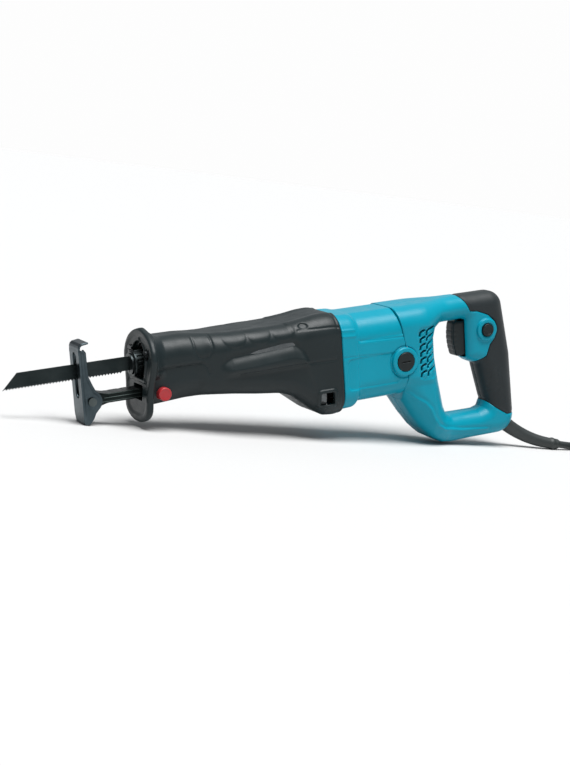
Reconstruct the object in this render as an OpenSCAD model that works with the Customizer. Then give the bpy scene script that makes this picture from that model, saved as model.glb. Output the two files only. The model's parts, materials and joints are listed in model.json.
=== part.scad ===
// Corded reciprocating saw, standing on its shoe and on the round foot of its loop handle.
//
// The sub-parts are drawn in the tool's frame: X runs along the plunger, from the guard's front
// face towards the handle, Y is across the tool, and Z is up. bench() then tilts each one into the
// resting pose, nose down, so that the shoe and the handle stand on the plane Z = 0.
// The free cord, its coil and its plug are drawn on that plane directly.

/* [Blade and clamp] */
// Length of the blade in front of the plunger's clamp
blade_len = 132; // [80:1:200]
// Height of the blade
blade_h = 15; // [12:0.5:20]
// Thickness of the blade
blade_t = 1.1; // [0.9:0.1:1.6]
// Distance between two blade teeth
tooth_pitch = 3; // [2:0.25:6]
// Height of the blade's shank
shank_h = 12; // [9:0.5:13]
// Outer radius of the clamp body on the plunger's nose
clamp_r = 9; // [8.5:0.5:10]
// Outer radius of the clamp's turning sleeve
sleeve_r = 12.5; // [11.5:0.5:14]

/* [Plunger and crank] */
// Stroke of the plunger
stroke = 28; // [18:1:30]
// Radius of the plunger
plunger_r = 8; // [7:0.5:9]
// Radius of the guide rod behind the yoke
rod_r = 6; // [5:0.5:7]
// Distance from the guard's face to the crank gear's axis
crank_x = 128; // [124:1:132]
// Radius of the roller on the crank pin
roller_r = 7; // [5:0.5:8]

/* [Gears] */
// Module of the gear pair
gear_m = 1.4; // [1.2:0.1:1.5]
// Teeth of the crank gear
gear_n = 40; // [36:2:42]
// Teeth of the motor pinion
pinion_n = 8; // [7:1:9]
// Width of the toothed face
gear_face = 5; // [4:0.5:6]
// Radius of the gear shaft
gear_shaft_r = 8; // [6:0.5:9]

/* [Motor] */
// Distance of the motor axis below the plunger axis
motor_drop = 32; // [30:0.5:33]
// Outer radius of the stator
stator_r = 33; // [30:0.5:33.5]
// Radius of the armature core
core_r = 19.5; // [17:0.5:21]
// Length of the armature core
core_len = 44; // [34:1:50]
// Radius of the armature shaft
shaft_r = 4; // [3:0.5:4]
// Radius of the commutator
commutator_r = 13; // [11:0.5:14]
// Radius of the cooling fan
fan_r = 24; // [20:0.5:24]
// Outer radius of both armature bearings
bearing_r = 11; // [10:0.5:13]

/* [Housings] */
// Half width of the barrel behind the guard
barrel_hw = 27; // [26:0.5:30]
// Half width of the gear and motor section
body_hw = 38; // [37:0.5:42]
// Height of the housings' top above the plunger axis
body_top = 20.5; // [20:0.5:24]
// Depth of the motor housing's underside below the plunger axis
body_drop = 70; // [69:0.5:76]
// Distance from the guard's face to the seam behind the cover
cover_end = 198; // [196:1:206]
// Distance from the guard's face to the seam before the handle, at its middle
seam_x = 266; // [264:0.5:268]
// Wall of the insulation cover
cover_wall = 3; // [2:0.25:3.5]
// Wall of the gear housing
casting_wall = 3; // [2.5:0.25:3.5]
// Wall of the plastic housings
wall = 3; // [2:0.25:3.5]

/* [Guard and shoe] */
// Thickness of the hand guard
guard_t = 6.4; // [5.6:0.2:9]
// Half width of the hand guard
guard_hw = 39; // [34:1:44]
// Height of the guard's top above the plunger axis
guard_top = 33; // [26:1:38]
// Depth of the guard's bottom below the plunger axis
guard_drop = 56; // [50:1:58]
// Distance of the shoe's pivot in front of the guard
pivot_x = 52; // [46:1:70]
// Depth of the shoe's pivot below the plunger axis
pivot_drop = 27.5; // [27:0.25:28]
// Width of the shoe
shoe_w = 27; // [25:1:34]
// Height of the shoe's plate above the pivot
shoe_up = 58; // [48:1:64]
// Depth of the shoe's lower edge below the pivot
shoe_down = 22; // [16:1:26]
// Width of the blade slot in the shoe
shoe_slot = 11; // [9:0.5:13]
// Width of the shoe's arm
arm_w = 18; // [14:0.5:19]
// Height of the shoe's arm
arm_h = 9; // [7:0.25:9]

/* [Handle] */
// Distance from the guard's face to the handle's rear
handle_end = 409; // [404:1:420]
// Depth of the handle's underside below the plunger axis
handle_drop = 130; // [124:1:140]
// Half width of the grip
grip_hw = 17; // [16.5:0.5:22]
// Half width of the handle's front leg, where it leaves the motor
leg_hw = 24; // [21:0.5:28]
// Thickness of the soft grip
grip_skin = 2.5; // [1.5:0.25:3]
// Travel of the trigger
trigger_travel = 6; // [3:0.5:7]
// Radius of the lock button
lock_r = 6.5; // [5:0.5:7]

/* [Hidden] */

// Clearances
fit = 0.02;         // pieces that are pressed or screwed together
run = 0.04;         // shafts and rods in their bearings and bushes
gap = 0.3;          // shells that lie over each other
loose = 0.5;        // pieces that slide in a window

// Colours
teal = [0.0, 0.50, 0.58];
charcoal = [0.13, 0.14, 0.16];
rubber = [0.07, 0.07, 0.08];
steel = [0.62, 0.63, 0.65];
dark_steel = [0.25, 0.26, 0.28];
casting = [0.72, 0.73, 0.74];
copper = [0.72, 0.42, 0.20];
brass = [0.80, 0.65, 0.30];
red = [0.80, 0.08, 0.08];

// Places along the tool
crank_r = stroke / 2;
clamp_front = -8;
clamp_rear = 14;
pocket_end = 34;
seal_len = 5.6;
bush_x = pocket_end + seal_len + 0.4;
bush_len = 22;
chamber_x = bush_x + bush_len + 2;
chamber_end = 164;
box_x = chamber_end + gap;
box_len = 14.7;
box_end = box_x + box_len;
neck_x = box_end + gap;
yoke_hx = roller_r + loose / 2 + 6;
yoke_hy = crank_r + roller_r + 6;
yoke_hz = 9;
rod_end = crank_x + 58;
rod_bush_r = rod_r + 3;
gear_r = gear_m * gear_n / 2;
pinion_r = gear_m * pinion_n / 2;
mesh_z = -motor_drop + pinion_r;
gear_tip_z = mesh_z - 0.8 * gear_m;
gear_root_z = mesh_z + 0.95 * gear_m;
gear_disc_h = 7;
crank_disc_h = 4;
gear_top_z = gear_root_z + gear_disc_h;
gear_out_r = gear_r + gear_face / 2;
pinion_x = crank_x + gear_r - gear_face / 2;
pinion_end = pinion_x + gear_face;
shaft_foot_z = -38;
gear_bearing_top = -29.6;
gear_bearing_r = gear_shaft_r + 5;
core_x = 202;
core_end = core_x + core_len;
pole_bore = core_r + 0.7;
commutator_x = 258;
commutator_len = 17;
brush_x = 268;
bearing_len = 9.5;
rear_bearing_x = 279.5;
rear_bearing_len = 7;
tail_end = rear_bearing_x + rear_bearing_len + 2.5;
fan_x = 182;
fan_len = 12;
cap_y = 40;
boss_r = 15;
boss_y = 37.5;
neck_r = 30;
screw_r = 2.5;
under_cover = cover_wall + gap;
seam_lean = 6;
screw_places = [[28, 7.5], [-28, 7.5], [26.5, -47], [-26.5, -47]];

// Guard, shoe and arm
arm_window = arm_w / 2 + loose;
arm_travel_in = 20;
arm_travel_out = 10;
arm_rear = 52 + arm_travel_out;
guard_screw_x = 3.6;
guard_screw_y = [-20, 20];
guard_screw_z = 10;
shoe_t = 2;
shoe_plate_x = -pivot_x - 9;
foot_r = 3;
ear_r = 9;
guard_arch_r = 17;
guard_arch_z = 4;
button_r = 6.4;
button_x = guard_t + 2 * gap + button_r + 0.6;
button_travel = 3;
button_out = barrel_hw + 5;

// Handle
top_z = body_top + 0.5;
corner_r = 20;
crown_r = 16;
heel_r = 47;
heel_x = 325;
heel_z = heel_r - handle_drop;
corner_x = handle_end - corner_r;
corner_z = corner_r - handle_drop;
loop_top = -4;
loop_bottom = -handle_drop + 29;
loop_front = 312;
pod_end = 345;
boss_front = 352;
grip_front = 371;
trigger_top = -6;
trigger_bottom = -42;
trigger_out = 12;
trigger_hw = 8;
trigger_in = trigger_travel + 4;
lock_x = 375;
lock_z = -17;
lock_out = grip_hw + 4.5;
switch_hy = 8;
handle_screw_places = [[300, 10], [300, -56], [340, 11], [389, 7], [393, -86], [330, -115]];

// Resting pose: the tilt at which the shoe's round foot and the handle's round heel touch the
// same plane, and the shift that puts the origin under the middle of the tool
foot_x = shoe_plate_x + foot_r;
foot_z = -pivot_drop - shoe_down + foot_r;
base_run = heel_x - foot_x;
base_rise = heel_z - foot_z;
tilt = asin((heel_r - foot_r) / norm([base_run, base_rise])) - atan2(base_rise, base_run);
lift = heel_r - heel_x * sin(tilt) - heel_z * cos(tilt);
nose_x = -blade_len * cos(tilt) + blade_h / 2 * sin(tilt);
tail_x = corner_x * cos(tilt) - corner_z * sin(tilt) + corner_r;
shift = -(nose_x + tail_x) / 2;

// Direction in which the cord leaves the handle's heel
cord_exit_a = -30 - tilt;

// Free cord on the bench
cord_d = 7.5;
guard_route = [
    [257, 0, 33], [266, 0, 27.7], [276, 0, 22], [287, -1, 16.6], [299, -3, 12], [312, -5.2, 8.6],
    [326, -7.3, 6.7], [338, -8.4, 6]
];
cord_route = [
    [338, -8.4, 6], [352.8, -6.7, 4.8], [367.6, -0.8, 4], [382.4, 6.8, 3.75], [397.2, 13.3, 3.75],
    [412, 16, 3.75]
];
coil_x = 412;
coil_y = -44;
coil_in_r = 30;
coil_out_r = 60;
// The cord leaves the coil's upper layer, climbs over it in a half turn and ends in the plug,
// which lies on the coil
plug_turn_r = 31;
plug_turn_x = coil_x + 8;
plug_turn_y = coil_y + coil_out_r - cord_d - plug_turn_r;
plug_hz = 10.2;
plug_x = coil_x;
plug_y = plug_turn_y - plug_turn_r;
plug_z = 2 * cord_d + plug_hz + 2 * run;
function step_up(t) = let (u = min(max(t, 0), 1)) u * u * (3 - 2 * u);
plug_route = concat(
    [[coil_x, plug_turn_y + plug_turn_r, 1.5 * cord_d]],
    [for (a = [90 : -15 : -90]) [plug_turn_x + plug_turn_r * cos(a), plug_turn_y + plug_turn_r * sin(a),
        cord_d * (1.5 + step_up((98 - a) / 60)) + (plug_z - 2.5 * cord_d) * step_up((-30 - a) / 60)]],
    [[plug_x, plug_y, plug_z]]);
plug_len = 42;
plug_hw = 18;
pin_r = 2.4;
pin_root_r = 1.8;
pin_len = 19;
pin_space = 19;
tie_w = 10;
tie_t = 1.3;

// ---------------------------------------------------------------- shapes that repeat

module bench() {
    translate([shift, 0, lift]) rotate([0, -tilt, 0]) children();
}

// Cylinder along X, Y or Z, from a to b
module bar_x(r, a, b, y = 0, z = 0) {
    translate([a, y, z]) rotate([0, 90, 0]) cylinder(r = r, h = b - a, $fn = 48);
}
module bar_y(r, a, b, x = 0, z = 0) {
    translate([x, b, z]) rotate([90, 0, 0]) cylinder(r = r, h = b - a, $fn = 48);
}
module bar_z(r, a, b, x = 0, y = 0) { translate([x, y, a]) cylinder(r = r, h = b - a, $fn = 48); }
module tube_x(r, bore, a, b, y = 0, z = 0) {
    difference() {
        bar_x(r, a, b, y, z);
        bar_x(bore, a - 1, b + 1, y, z);
    }
}

// Box from corner to corner
module block(x, y, z) { translate([x[0], y[0], z[0]]) cube([x[1] - x[0], y[1] - y[0], z[1] - z[0]]); }

// Outlines drawn in XZ and run along Y, in XY and run along Z, in YZ and run along X
module along_y(a, b) { rotate([90, 0, 0]) translate([0, 0, -b]) linear_extrude(b - a) children(); }
module along_z(a, b) { translate([0, 0, a]) linear_extrude(b - a) children(); }
module along_x(a, b) { translate([a, 0, 0]) rotate([90, 0, 90]) linear_extrude(b - a) children(); }

function arc(x, y, r, a, b, n = 6) = [
    for (i = [0 : n]) let (t = a + (b - a) * i / n) [x + r * cos(t), y + r * sin(t)]];
function round_box(hw, top, bottom, r, n = 6) = concat(
    arc(hw - r, top - r, r, 0, 90, n), arc(r - hw, top - r, r, 90, 180, n),
    arc(r - hw, bottom + r, r, 180, 270, n), arc(hw - r, bottom + r, r, 270, 360, n));

// Faces of a closed skin over m rings of k points
function tube_faces(k, m) = concat(
    [[for (i = [0 : k - 1]) i]],
    [for (j = [0 : m - 2]) for (i = [0 : k - 1]) [j * k + i, (j + 1) * k + (i + 1) % k, j * k + (i + 1) % k]],
    [for (j = [0 : m - 2]) for (i = [0 : k - 1]) [j * k + i, (j + 1) * k + i, (j + 1) * k + (i + 1) % k]],
    [[for (i = [k - 1 : -1 : 0]) (m - 1) * k + i]]);

// Smooth body through round boxes: rows of [x, half width, top, bottom, corner radius], each inset by d
module loft(rows, d = 0, n = 5) {
    rings = [for (s = rows)
        [for (p = round_box(s[1] - d, s[2] - d, s[3] + d, s[4] - d, n)) [s[0], p[0], p[1]]]];
    k = len(rings[0]);
    m = len(rings);
    polyhedron(
        points = [for (ring = rings) each ring],
        faces = tube_faces(k, m));
}

// Round tube along a route of points, with its radius running from r0 to r1
function unit(v) = v / norm(v);
module sweep(route, r0, r1, sides = 12) {
    m = len(route);
    dirs = [for (j = [0 : m - 1]) unit(route[min(j + 1, m - 1)] - route[max(j - 1, 0)])];
    rings = [for (j = [0 : m - 1]) let (
            across = unit(cross([0, 0, 1], dirs[j])), up = cross(dirs[j], across),
            r = r0 + (r1 - r0) * j / (m - 1))
        [for (i = [0 : sides - 1]) let (t = 360 * i / sides)
            route[j] + r * cos(t) * across + r * sin(t) * up]];
    polyhedron(
        points = [for (ring = rings) each ring],
        faces = tube_faces(sides, m));
}

// Outline with n slots or gaps cut into its rim, for laminations, commutator bars and gear teeth
function toothed(n, root, tip, root_w, tip_w, turn = 0) = [
    for (i = [0 : n - 1]) let (a = turn + 360 * i / n)
        for (q = [[root, -root_w / 2], [tip, -tip_w / 2], [tip, tip_w / 2], [root, root_w / 2]])
            [q[0] * cos(a) - q[1] * sin(a), q[0] * sin(a) + q[1] * cos(a)]];
function sector(r0, r1, a, b, n = 8) = concat(arc(0, 0, r1, a, b, n), arc(0, 0, r0, b, a, n));

// Screw along X with its thread towards -X, and one along Y with its thread towards -Y
module screw_x(x, length, y, z, r = screw_r) {
    bar_x(r, x - length, x, y, z);
    difference() {
        bar_x(1.8 * r, x, x + 1.2 * r, y, z);
        block([x + 0.6 * r, x + 2 * r], [y - 1.9 * r, y + 1.9 * r], [z - 0.25 * r, z + 0.25 * r]);
        block([x + 0.6 * r, x + 2 * r], [y - 0.25 * r, y + 0.25 * r], [z - 1.9 * r, z + 1.9 * r]);
    }
}
module screw_y(y, length, x, z, r) {
    bar_y(r, y - length, y, x, z);
    difference() {
        bar_y(1.8 * r, y, y + 1.2 * r, x, z);
        block([x - 1.9 * r, x + 1.9 * r], [y + 0.6 * r, y + 2 * r], [z - 0.25 * r, z + 0.25 * r]);
        block([x - 0.25 * r, x + 0.25 * r], [y + 0.6 * r, y + 2 * r], [z - 1.9 * r, z + 1.9 * r]);
    }
}

// Ball bearing along X: two rings and a ring of balls between them
module ball_bearing_x(bore, r, a, b, z) {
    mid = (bore + r) / 2;
    ball = (r - bore) / 5;
    translate([a, 0, z]) rotate([0, 90, 0]) {
        rotate_extrude($fn = 48) translate([bore, 0]) square([ball, b - a]);
        rotate_extrude($fn = 48) translate([r - ball, 0]) square([ball, b - a]);
        for (i = [0 : 7]) rotate([0, 0, 45 * i]) translate([mid, 0, (b - a) / 2])
            sphere(r = ball * 1.45, $fn = 24);
    }
}

// ---------------------------------------------------------------- blade and clamp

module blade_outline() {
    teeth = floor((blade_len - 14) / tooth_pitch);
    back = -blade_h / 2 + 1.6;
    polygon(concat(
        [[-blade_len, -blade_h / 2], [-blade_len + 15, blade_h / 2], [-10, blade_h / 2], [-6, shank_h / 2],
         [10, shank_h / 2], [12, shank_h / 2 - 3], [12, 3 - shank_h / 2], [10, -shank_h / 2],
         [-6, -shank_h / 2],
         [-9, back]],
        [for (i = [teeth - 1 : -1 : 1])
            each [[-blade_len + (i + 1) * tooth_pitch - 0.4, back],
                  [-blade_len + i * tooth_pitch + 0.4, -blade_h / 2]]],
        [[-blade_len + tooth_pitch, back]]));
}

module saw_blade() {
    color(dark_steel) bench() difference() {
        along_y(-blade_t / 2, blade_t / 2) blade_outline();
        bar_y(3, -5, 5, 2, 0);
    }
}

module clamp_body() {
    slot = (blade_t + gap) / 2;
    color(steel) bench() difference() {
        union() {
            bar_x(clamp_r, clamp_front, clamp_rear);
            bar_x(clamp_r + 1.2, clamp_front, clamp_front + 1.8);
        }
        block([clamp_front - 1, 12.2], [-slot, slot], [-shank_h / 2 - 0.2, shank_h / 2 + 0.2]);
        block([clamp_front - 1, -5.6], [-slot, slot], [-blade_h / 2 - gap, blade_h / 2 + gap]);
        bar_y(1.6 + fit, -clamp_r - 2, clamp_r + 2, 2, 0);
    }
}

module clamp_pin() { color(steel) bench() bar_y(1.6, -clamp_r + 0.8, clamp_r - 0.8, 2, 0); }

module clamp_spring() {
    color(steel) bench() for (i = [0 : 2])
        translate([clamp_rear + 1.2 + 1.9 * i, 0, 0]) rotate([0, 90, 0])
            rotate_extrude($fn = 48) translate([plunger_r + 1.2, 0]) circle(r = 0.8, $fn = 16);
}

module clamp_sleeve() {
    color(dark_steel) bench() difference() {
        union() {
            bar_x(sleeve_r, clamp_front + 2, clamp_rear - 4);
            bar_x(sleeve_r - 1.2, clamp_front + 2, clamp_rear - 0.3);
        }
        bar_x(clamp_r + 2 * run, clamp_front, clamp_rear + 1);
        for (i = [0 : 11]) rotate([30 * i, 0, 0])
            block([clamp_front + 4, clamp_rear - 6], [-0.9, 0.9], [sleeve_r - 0.8, sleeve_r + 1]);
    }
}

// ---------------------------------------------------------------- plunger, crank and gears

module plunger_bar() {
    color(steel) bench() {
        bar_x(plunger_r, clamp_rear + fit, crank_x - yoke_hx - fit);
    }
}

module scotch_yoke() {
    slot = roller_r + loose / 2;
    color(dark_steel) bench() {
        difference() {
            block([crank_x - yoke_hx, crank_x + yoke_hx], [-yoke_hy, yoke_hy], [-yoke_hz, yoke_hz]);
            block([crank_x - slot, crank_x + slot], [-crank_r, crank_r], [-yoke_hz - 1, yoke_hz + 1]);
            bar_z(slot, -yoke_hz - 1, yoke_hz + 1, crank_x, crank_r);
            bar_z(slot, -yoke_hz - 1, yoke_hz + 1, crank_x, -crank_r);
        }
        bar_x(rod_r, crank_x + yoke_hx - 0.5, rod_end);
    }
}

module crank_roller() {
    color(steel) bench() difference() {
        bar_z(roller_r, 0.6 - yoke_hz, yoke_hz - 0.6, crank_x, -crank_r);
        bar_z(2, -yoke_hz - 1, yoke_hz + 1, crank_x, -crank_r);
    }
}

module crank_disc() {
    color(steel) bench() difference() {
        union() {
            bar_z(gear_out_r - 5, gear_top_z + fit, gear_top_z + crank_disc_h, crank_x);
            bar_z(roller_r, gear_top_z + crank_disc_h - 0.5, -yoke_hz - gap, crank_x, -crank_r);
        }
        bar_z(3, gear_top_z - 1, -yoke_hz + 1, crank_x, crank_r);
        bar_z(2, gear_top_z + 1, -yoke_hz + 1, crank_x, -crank_r);
    }
}

module bevel_gear() {
    inner = gear_r - gear_face / 2;
    w = 0.31 * PI * gear_m;
    color(dark_steel) bench() translate([crank_x, 0, 0]) difference() {
        union() {
            along_z(gear_tip_z, gear_root_z + 0.2)
                polygon(toothed(gear_n, inner, gear_out_r, w * inner / gear_r, w * gear_out_r / gear_r,
                                180 / gear_n));
            bar_z(gear_out_r, gear_root_z, gear_top_z);
            bar_z(gear_shaft_r + 3, gear_tip_z - 1, gear_root_z + 0.2);
        }
        difference() {
            bar_z(inner, gear_tip_z - 2, gear_root_z);
            bar_z(gear_shaft_r + 3, gear_tip_z - 3, gear_root_z + 1);
        }
        bar_z(gear_shaft_r + fit, gear_tip_z - 3, gear_top_z + 1);
    }
}

module gear_shaft() {
    color(steel) bench() bar_z(gear_shaft_r, shaft_foot_z + 0.2, gear_top_z, crank_x);
}

module gear_bearing() {
    color(steel) bench() difference() {
        bar_z(gear_bearing_r, shaft_foot_z, gear_bearing_top, crank_x);
        bar_z(gear_shaft_r + run, shaft_foot_z - 1, gear_bearing_top + 1, crank_x);
    }
}

module plunger_bushes() {
    color(brass) bench() {
        tube_x(plunger_r + 5, plunger_r + run, bush_x, bush_x + bush_len);
        tube_x(rod_bush_r, rod_r + run, box_x + 1.7, box_end - 0.7);
    }
}

module plunger_seal() {
    color(rubber) bench() tube_x(plunger_r + 5, plunger_r + 2 * run, pocket_end, pocket_end + seal_len);
}

// ---------------------------------------------------------------- motor

module armature_shaft() {
    color(steel) bench() bar_x(shaft_r, pinion_x - 3, rear_bearing_x + rear_bearing_len, 0, -motor_drop);
}

module drive_pinion() {
    color(dark_steel) bench() translate([0, 0, -motor_drop]) difference() {
        union() {
            along_x(pinion_x, pinion_end + 0.6) polygon(toothed(
                pinion_n, pinion_r - 0.9 * gear_m, pinion_r + 0.75 * gear_m, 0.45 * PI * gear_m,
                0.2 * PI * gear_m, 90));
            bar_x(shaft_r + 1.4, pinion_end + 0.5, box_x + 0.6);
        }
        bar_x(shaft_r + fit, pinion_x - 1, box_x + 2);
    }
}

module cooling_fan() {
    color(charcoal) bench() translate([0, 0, -motor_drop]) difference() {
        union() {
            bar_x(fan_r, fan_x, fan_x + 1.6);
            bar_x(shaft_r + 4, fan_x, fan_x + fan_len);
            for (i = [0 : 13]) rotate([360 / 14 * i, 0, 0])
                block([fan_x + 1, fan_x + fan_len - 1], [-0.7, 0.7], [shaft_r + 3, fan_r - 0.5]);
        }
        bar_x(shaft_r + fit, fan_x - 1, fan_x + fan_len + 1);
    }
}

module armature_core() {
    color(dark_steel) bench() translate([0, 0, -motor_drop]) difference() {
        along_x(core_x, core_end) polygon(toothed(12, core_r - 6, core_r, 4.6, 8.4));
        bar_x(shaft_r + fit, core_x - 1, core_end + 1);
    }
}

module armature_windings() {
    color(copper) bench() translate([0, 0, -motor_drop])
        for (s = [[core_x - 5.5, core_x - 0.1], [core_end + 0.1, core_end + 8]])
        difference() {
            union() {
                bar_x(core_r - 3.5, s[0] + 1, s[1] - 1);
                bar_x(core_r - 5, s[0], s[1]);
            }
            bar_x(shaft_r + fit, s[0] - 1, s[1] + 1);
        }
}

module commutator() {
    color(copper) bench() translate([0, 0, -motor_drop]) difference() {
        along_x(commutator_x, commutator_x + commutator_len)
            polygon(toothed(24, commutator_r - 1, commutator_r, 2.8, 2.9));
        bar_x(shaft_r + fit, commutator_x - 1, commutator_x + commutator_len + 1);
    }
}

module motor_bearings() {
    color(steel) bench() {
        ball_bearing_x(shaft_r + run, bearing_r, box_x + 1.8, box_x + 1.8 + bearing_len, -motor_drop);
        ball_bearing_x(shaft_r + run, bearing_r, rear_bearing_x, rear_bearing_x + rear_bearing_len,
                       -motor_drop);
    }
}

module stator_core() {
    color(dark_steel) bench() translate([0, 0, -motor_drop]) along_x(core_x, core_end) difference() {
        circle(r = stator_r, $fn = 72);
        circle(r = pole_bore, $fn = 72);
        for (a = [0, 180]) polygon(sector(pole_bore - 2, stator_r - 5, a - 40, a + 40));
    }
}

module field_windings() {
    color(copper) bench() translate([0, 0, -motor_drop]) for (a = [0, 180])
        along_x(core_x - 2.5, core_end + 6) polygon(sector(pole_bore + 0.5, stator_r - 5.5, a - 37, a + 37));
}

module baffle_plate() {
    color(charcoal) bench() difference() {
        tube_x(stator_r - 1, fan_r - 5, core_x - 6.8, core_x - 5.6, 0, -motor_drop);
        block([core_x - 9, core_x - 2], [-16, 16], [-motor_drop + 16, 10]);
        for (p = screw_places) {
            side = sign(p[0]) * 50;
            bar_x(screw_r + 2.5 + gap, core_x - 9, core_x - 2, p[0], p[1]);
            block([core_x - 9, core_x - 2], [min(p[0], side), max(p[0], side)],
                  [p[1] - 2 - gap, p[1] + 2 + gap]);
        }
    }
}

module brush_holders() {
    color(brass) bench() for (s = [0, 1]) mirror([0, s, 0]) difference() {
        union() {
            bar_y(7.8, 22, 33.8, brush_x, -motor_drop);
            block([brush_x - 5, brush_x + 5], [15.5, 23], [-motor_drop - 6, -motor_drop + 6]);
        }
        block([brush_x - 3.6, brush_x + 3.6], [14, 35], [-motor_drop - 4.6, -motor_drop + 4.6]);
    }
}

module carbon_brushes() {
    color(rubber) bench() for (s = [0, 1]) mirror([0, s, 0])
        block([brush_x - 3.4, brush_x + 3.4], [commutator_r + 0.2, commutator_r + 16],
              [-motor_drop - 4.4, -motor_drop + 4.4]);
}

module brush_caps() {
    color(charcoal) bench() for (s = [0, 1]) mirror([0, s, 0]) difference() {
        union() {
            bar_y(8.5, 36, cap_y, brush_x, -motor_drop);
            bar_y(7.8, 34.2, 36.5, brush_x, -motor_drop);
        }
        block([brush_x - 6, brush_x + 6], [cap_y - 1.6, cap_y + 1], [-motor_drop - 0.9, -motor_drop + 0.9]);
    }
}

// ---------------------------------------------------------------- housings

function body_rows() = [
    [guard_t + gap, barrel_hw + 1, body_top + 3.5, -40, 20],
    [40, barrel_hw, body_top + 3.5, -38, 20],
    [56, barrel_hw + 1, body_top + 2, -38, 20],
    [70, (barrel_hw + body_hw) / 2 + 0.5, body_top + 0.5, -38.5, 19],
    [88, body_hw - 1.5, body_top, -40, 17],
    [110, body_hw + 0.5, body_top, -43, 16],
    [135, body_hw + 1, body_top, -46, 16],
    [148, body_hw + 1, body_top + 0.5, -51, 17],
    [163, body_hw + 1, body_top + 2, -63, 19],
    [177, body_hw + 1.5, body_top + 4.5, -body_drop - 4, 20],
    [190, body_hw + 1.5, body_top + 5.5, -body_drop - 5.5, 20],
    [cover_end, body_hw + 0.5, body_top + 3, -body_drop - 4.5, 20]
];
function motor_rows() = [
    [cover_end + gap, body_hw - 0.5, body_top + 1, -body_drop - 2, 19],
    [cover_end + 9, body_hw - 0.5, body_top + 0.7, -body_drop - 2, 19],
    [cover_end + 16, body_hw - 1.5, body_top, -body_drop - 0.5, 18],
    [seam_x + 14, body_hw - 2, body_top, -body_drop + 1, 18]
];
// The same rows run on a little past both ends, so that what is cut with them is open there
function run_on(rows, extra = 2) = [
    for (i = [0 : len(rows) - 1]) let (s = rows[i], e = i == 0 ? -extra : i == len(rows) - 1 ? extra : 0)
        [s[0] + e, s[1], s[2], s[3], s[4]]];
module body_solid(d, a, b) {
    intersection() {
        loft(run_on(body_rows()), d);
        block([a, b], [-80, 80], [-160, 60]);
    }
}

module gear_housing() {
    inner = under_cover + casting_wall;
    color(casting) bench() difference() {
        union() {
            difference() {
                body_solid(under_cover, guard_t + 2 * gap, chamber_end);
                body_solid(inner, chamber_x, chamber_end + 1);
            }
            intersection() {
                body_solid(under_cover, 100, chamber_end);
                union() {
                    bar_z(gear_bearing_r + 4, -60, gear_bearing_top - 0.2, crank_x);
                    for (p = screw_places) bar_x(screw_r + 3, chamber_end - 7, chamber_end, p[0], p[1]);
                }
            }
        }
        bar_x(18.5, 0, pocket_end);
        bar_x(plunger_r + 5 + fit, 0, chamber_x - 2 + gap);
        bar_x(plunger_r + 1, 0, chamber_x + 1);
        block([0, arm_rear + arm_travel_in + 3], [-arm_window, arm_window],
              [-pivot_drop - arm_h / 2 - loose, -pivot_drop + arm_h / 2 + loose]);
        bar_z(gear_bearing_r + fit, shaft_foot_z - fit, 0, crank_x);
        for (p = screw_places) bar_x(screw_r + fit, chamber_end - 6.5, chamber_end + 1, p[0], p[1]);
        for (y = guard_screw_y) bar_x(screw_r + fit, 0, 22, y, guard_screw_z);
        bar_y(button_r + gap, -60, -arm_window + 0.5, button_x, -pivot_drop);
    }
}

module bearing_box() {
    color(casting) bench() difference() {
        body_solid(under_cover, box_x, box_end);
        bar_x(bearing_r + fit, box_x + 1.6, box_end + 1, 0, -motor_drop);
        bar_x(shaft_r + 3, box_x - 1, box_x + 3, 0, -motor_drop);
        bar_x(rod_bush_r + fit, box_x + 1.5, box_end + 1);
        bar_x(rod_r + 1, box_x - 1, box_x + 3);
        for (p = screw_places) bar_x(screw_r + fit, box_x - 1, box_end + 1, p[0], p[1]);
        for (s = [-1, 1]) block([box_x + 4, box_end + 1], [17 * s - 4, 17 * s + 4], [-26, -8]);
    }
}

module insulation_cover() {
    color(charcoal) bench() difference() {
        loft(body_rows());
        loft(run_on(body_rows()), cover_wall);
        bar_y(button_r + gap, -60, 0, button_x, -pivot_drop);
        block([172, 186], [-body_hw - 9, -body_hw + 1], [-62, -50]);
    }
}

function guard_outline() = concat(
    [for (i = [0 : 16]) let (t = 180 * i / 16) [guard_hw * cos(t), guard_top * sin(t)]],
    [[-guard_hw + 8, -24], [-guard_hw + 8.5, -41]],
    arc(-guard_hw + 8.5 + 15, -guard_drop + 15, 15, 180, 270),
    arc(guard_hw - 8.5 - 15, -guard_drop + 15, 15, 270, 360),
    [[guard_hw - 8.5, -41], [guard_hw - 8, -24]]);
module hand_guard() {
    color(charcoal) bench() difference() {
        along_x(0, guard_t) polygon(guard_outline());
        bar_x(guard_arch_r, -1, guard_t + 1, 0, guard_arch_z);
        block([-1, guard_t + 1], [-guard_arch_r, guard_arch_r], [-14, guard_arch_z]);
        block([-1, guard_t + 1], [-arm_window - 1.5, arm_window + 1.5],
              [-pivot_drop - arm_h / 2 - 2.5, -pivot_drop + arm_h / 2 + 2.5]);
        for (y = guard_screw_y) {
            bar_x(screw_r + fit, -1, guard_t + 1, y, guard_screw_z);
            bar_x(1.8 * screw_r + gap, -1, guard_screw_x, y, guard_screw_z);
        }
    }
}

module guard_screws() {
    color(steel) bench() for (y = guard_screw_y)
        mirror([1, 0, 0]) screw_x(-guard_screw_x, 18, y, guard_screw_z);
}

// Side view of everything in front of the handle's seam, which leans back as it goes down
module before_seam() {
    polygon([[cover_end - 40, 60], [seam_x - seam_lean, 60], [seam_x - seam_lean, body_top],
             [seam_x + seam_lean, -body_drop], [seam_x + seam_lean, -body_drop - 30],
             [cover_end - 40, -body_drop - 30]]);
}

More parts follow.
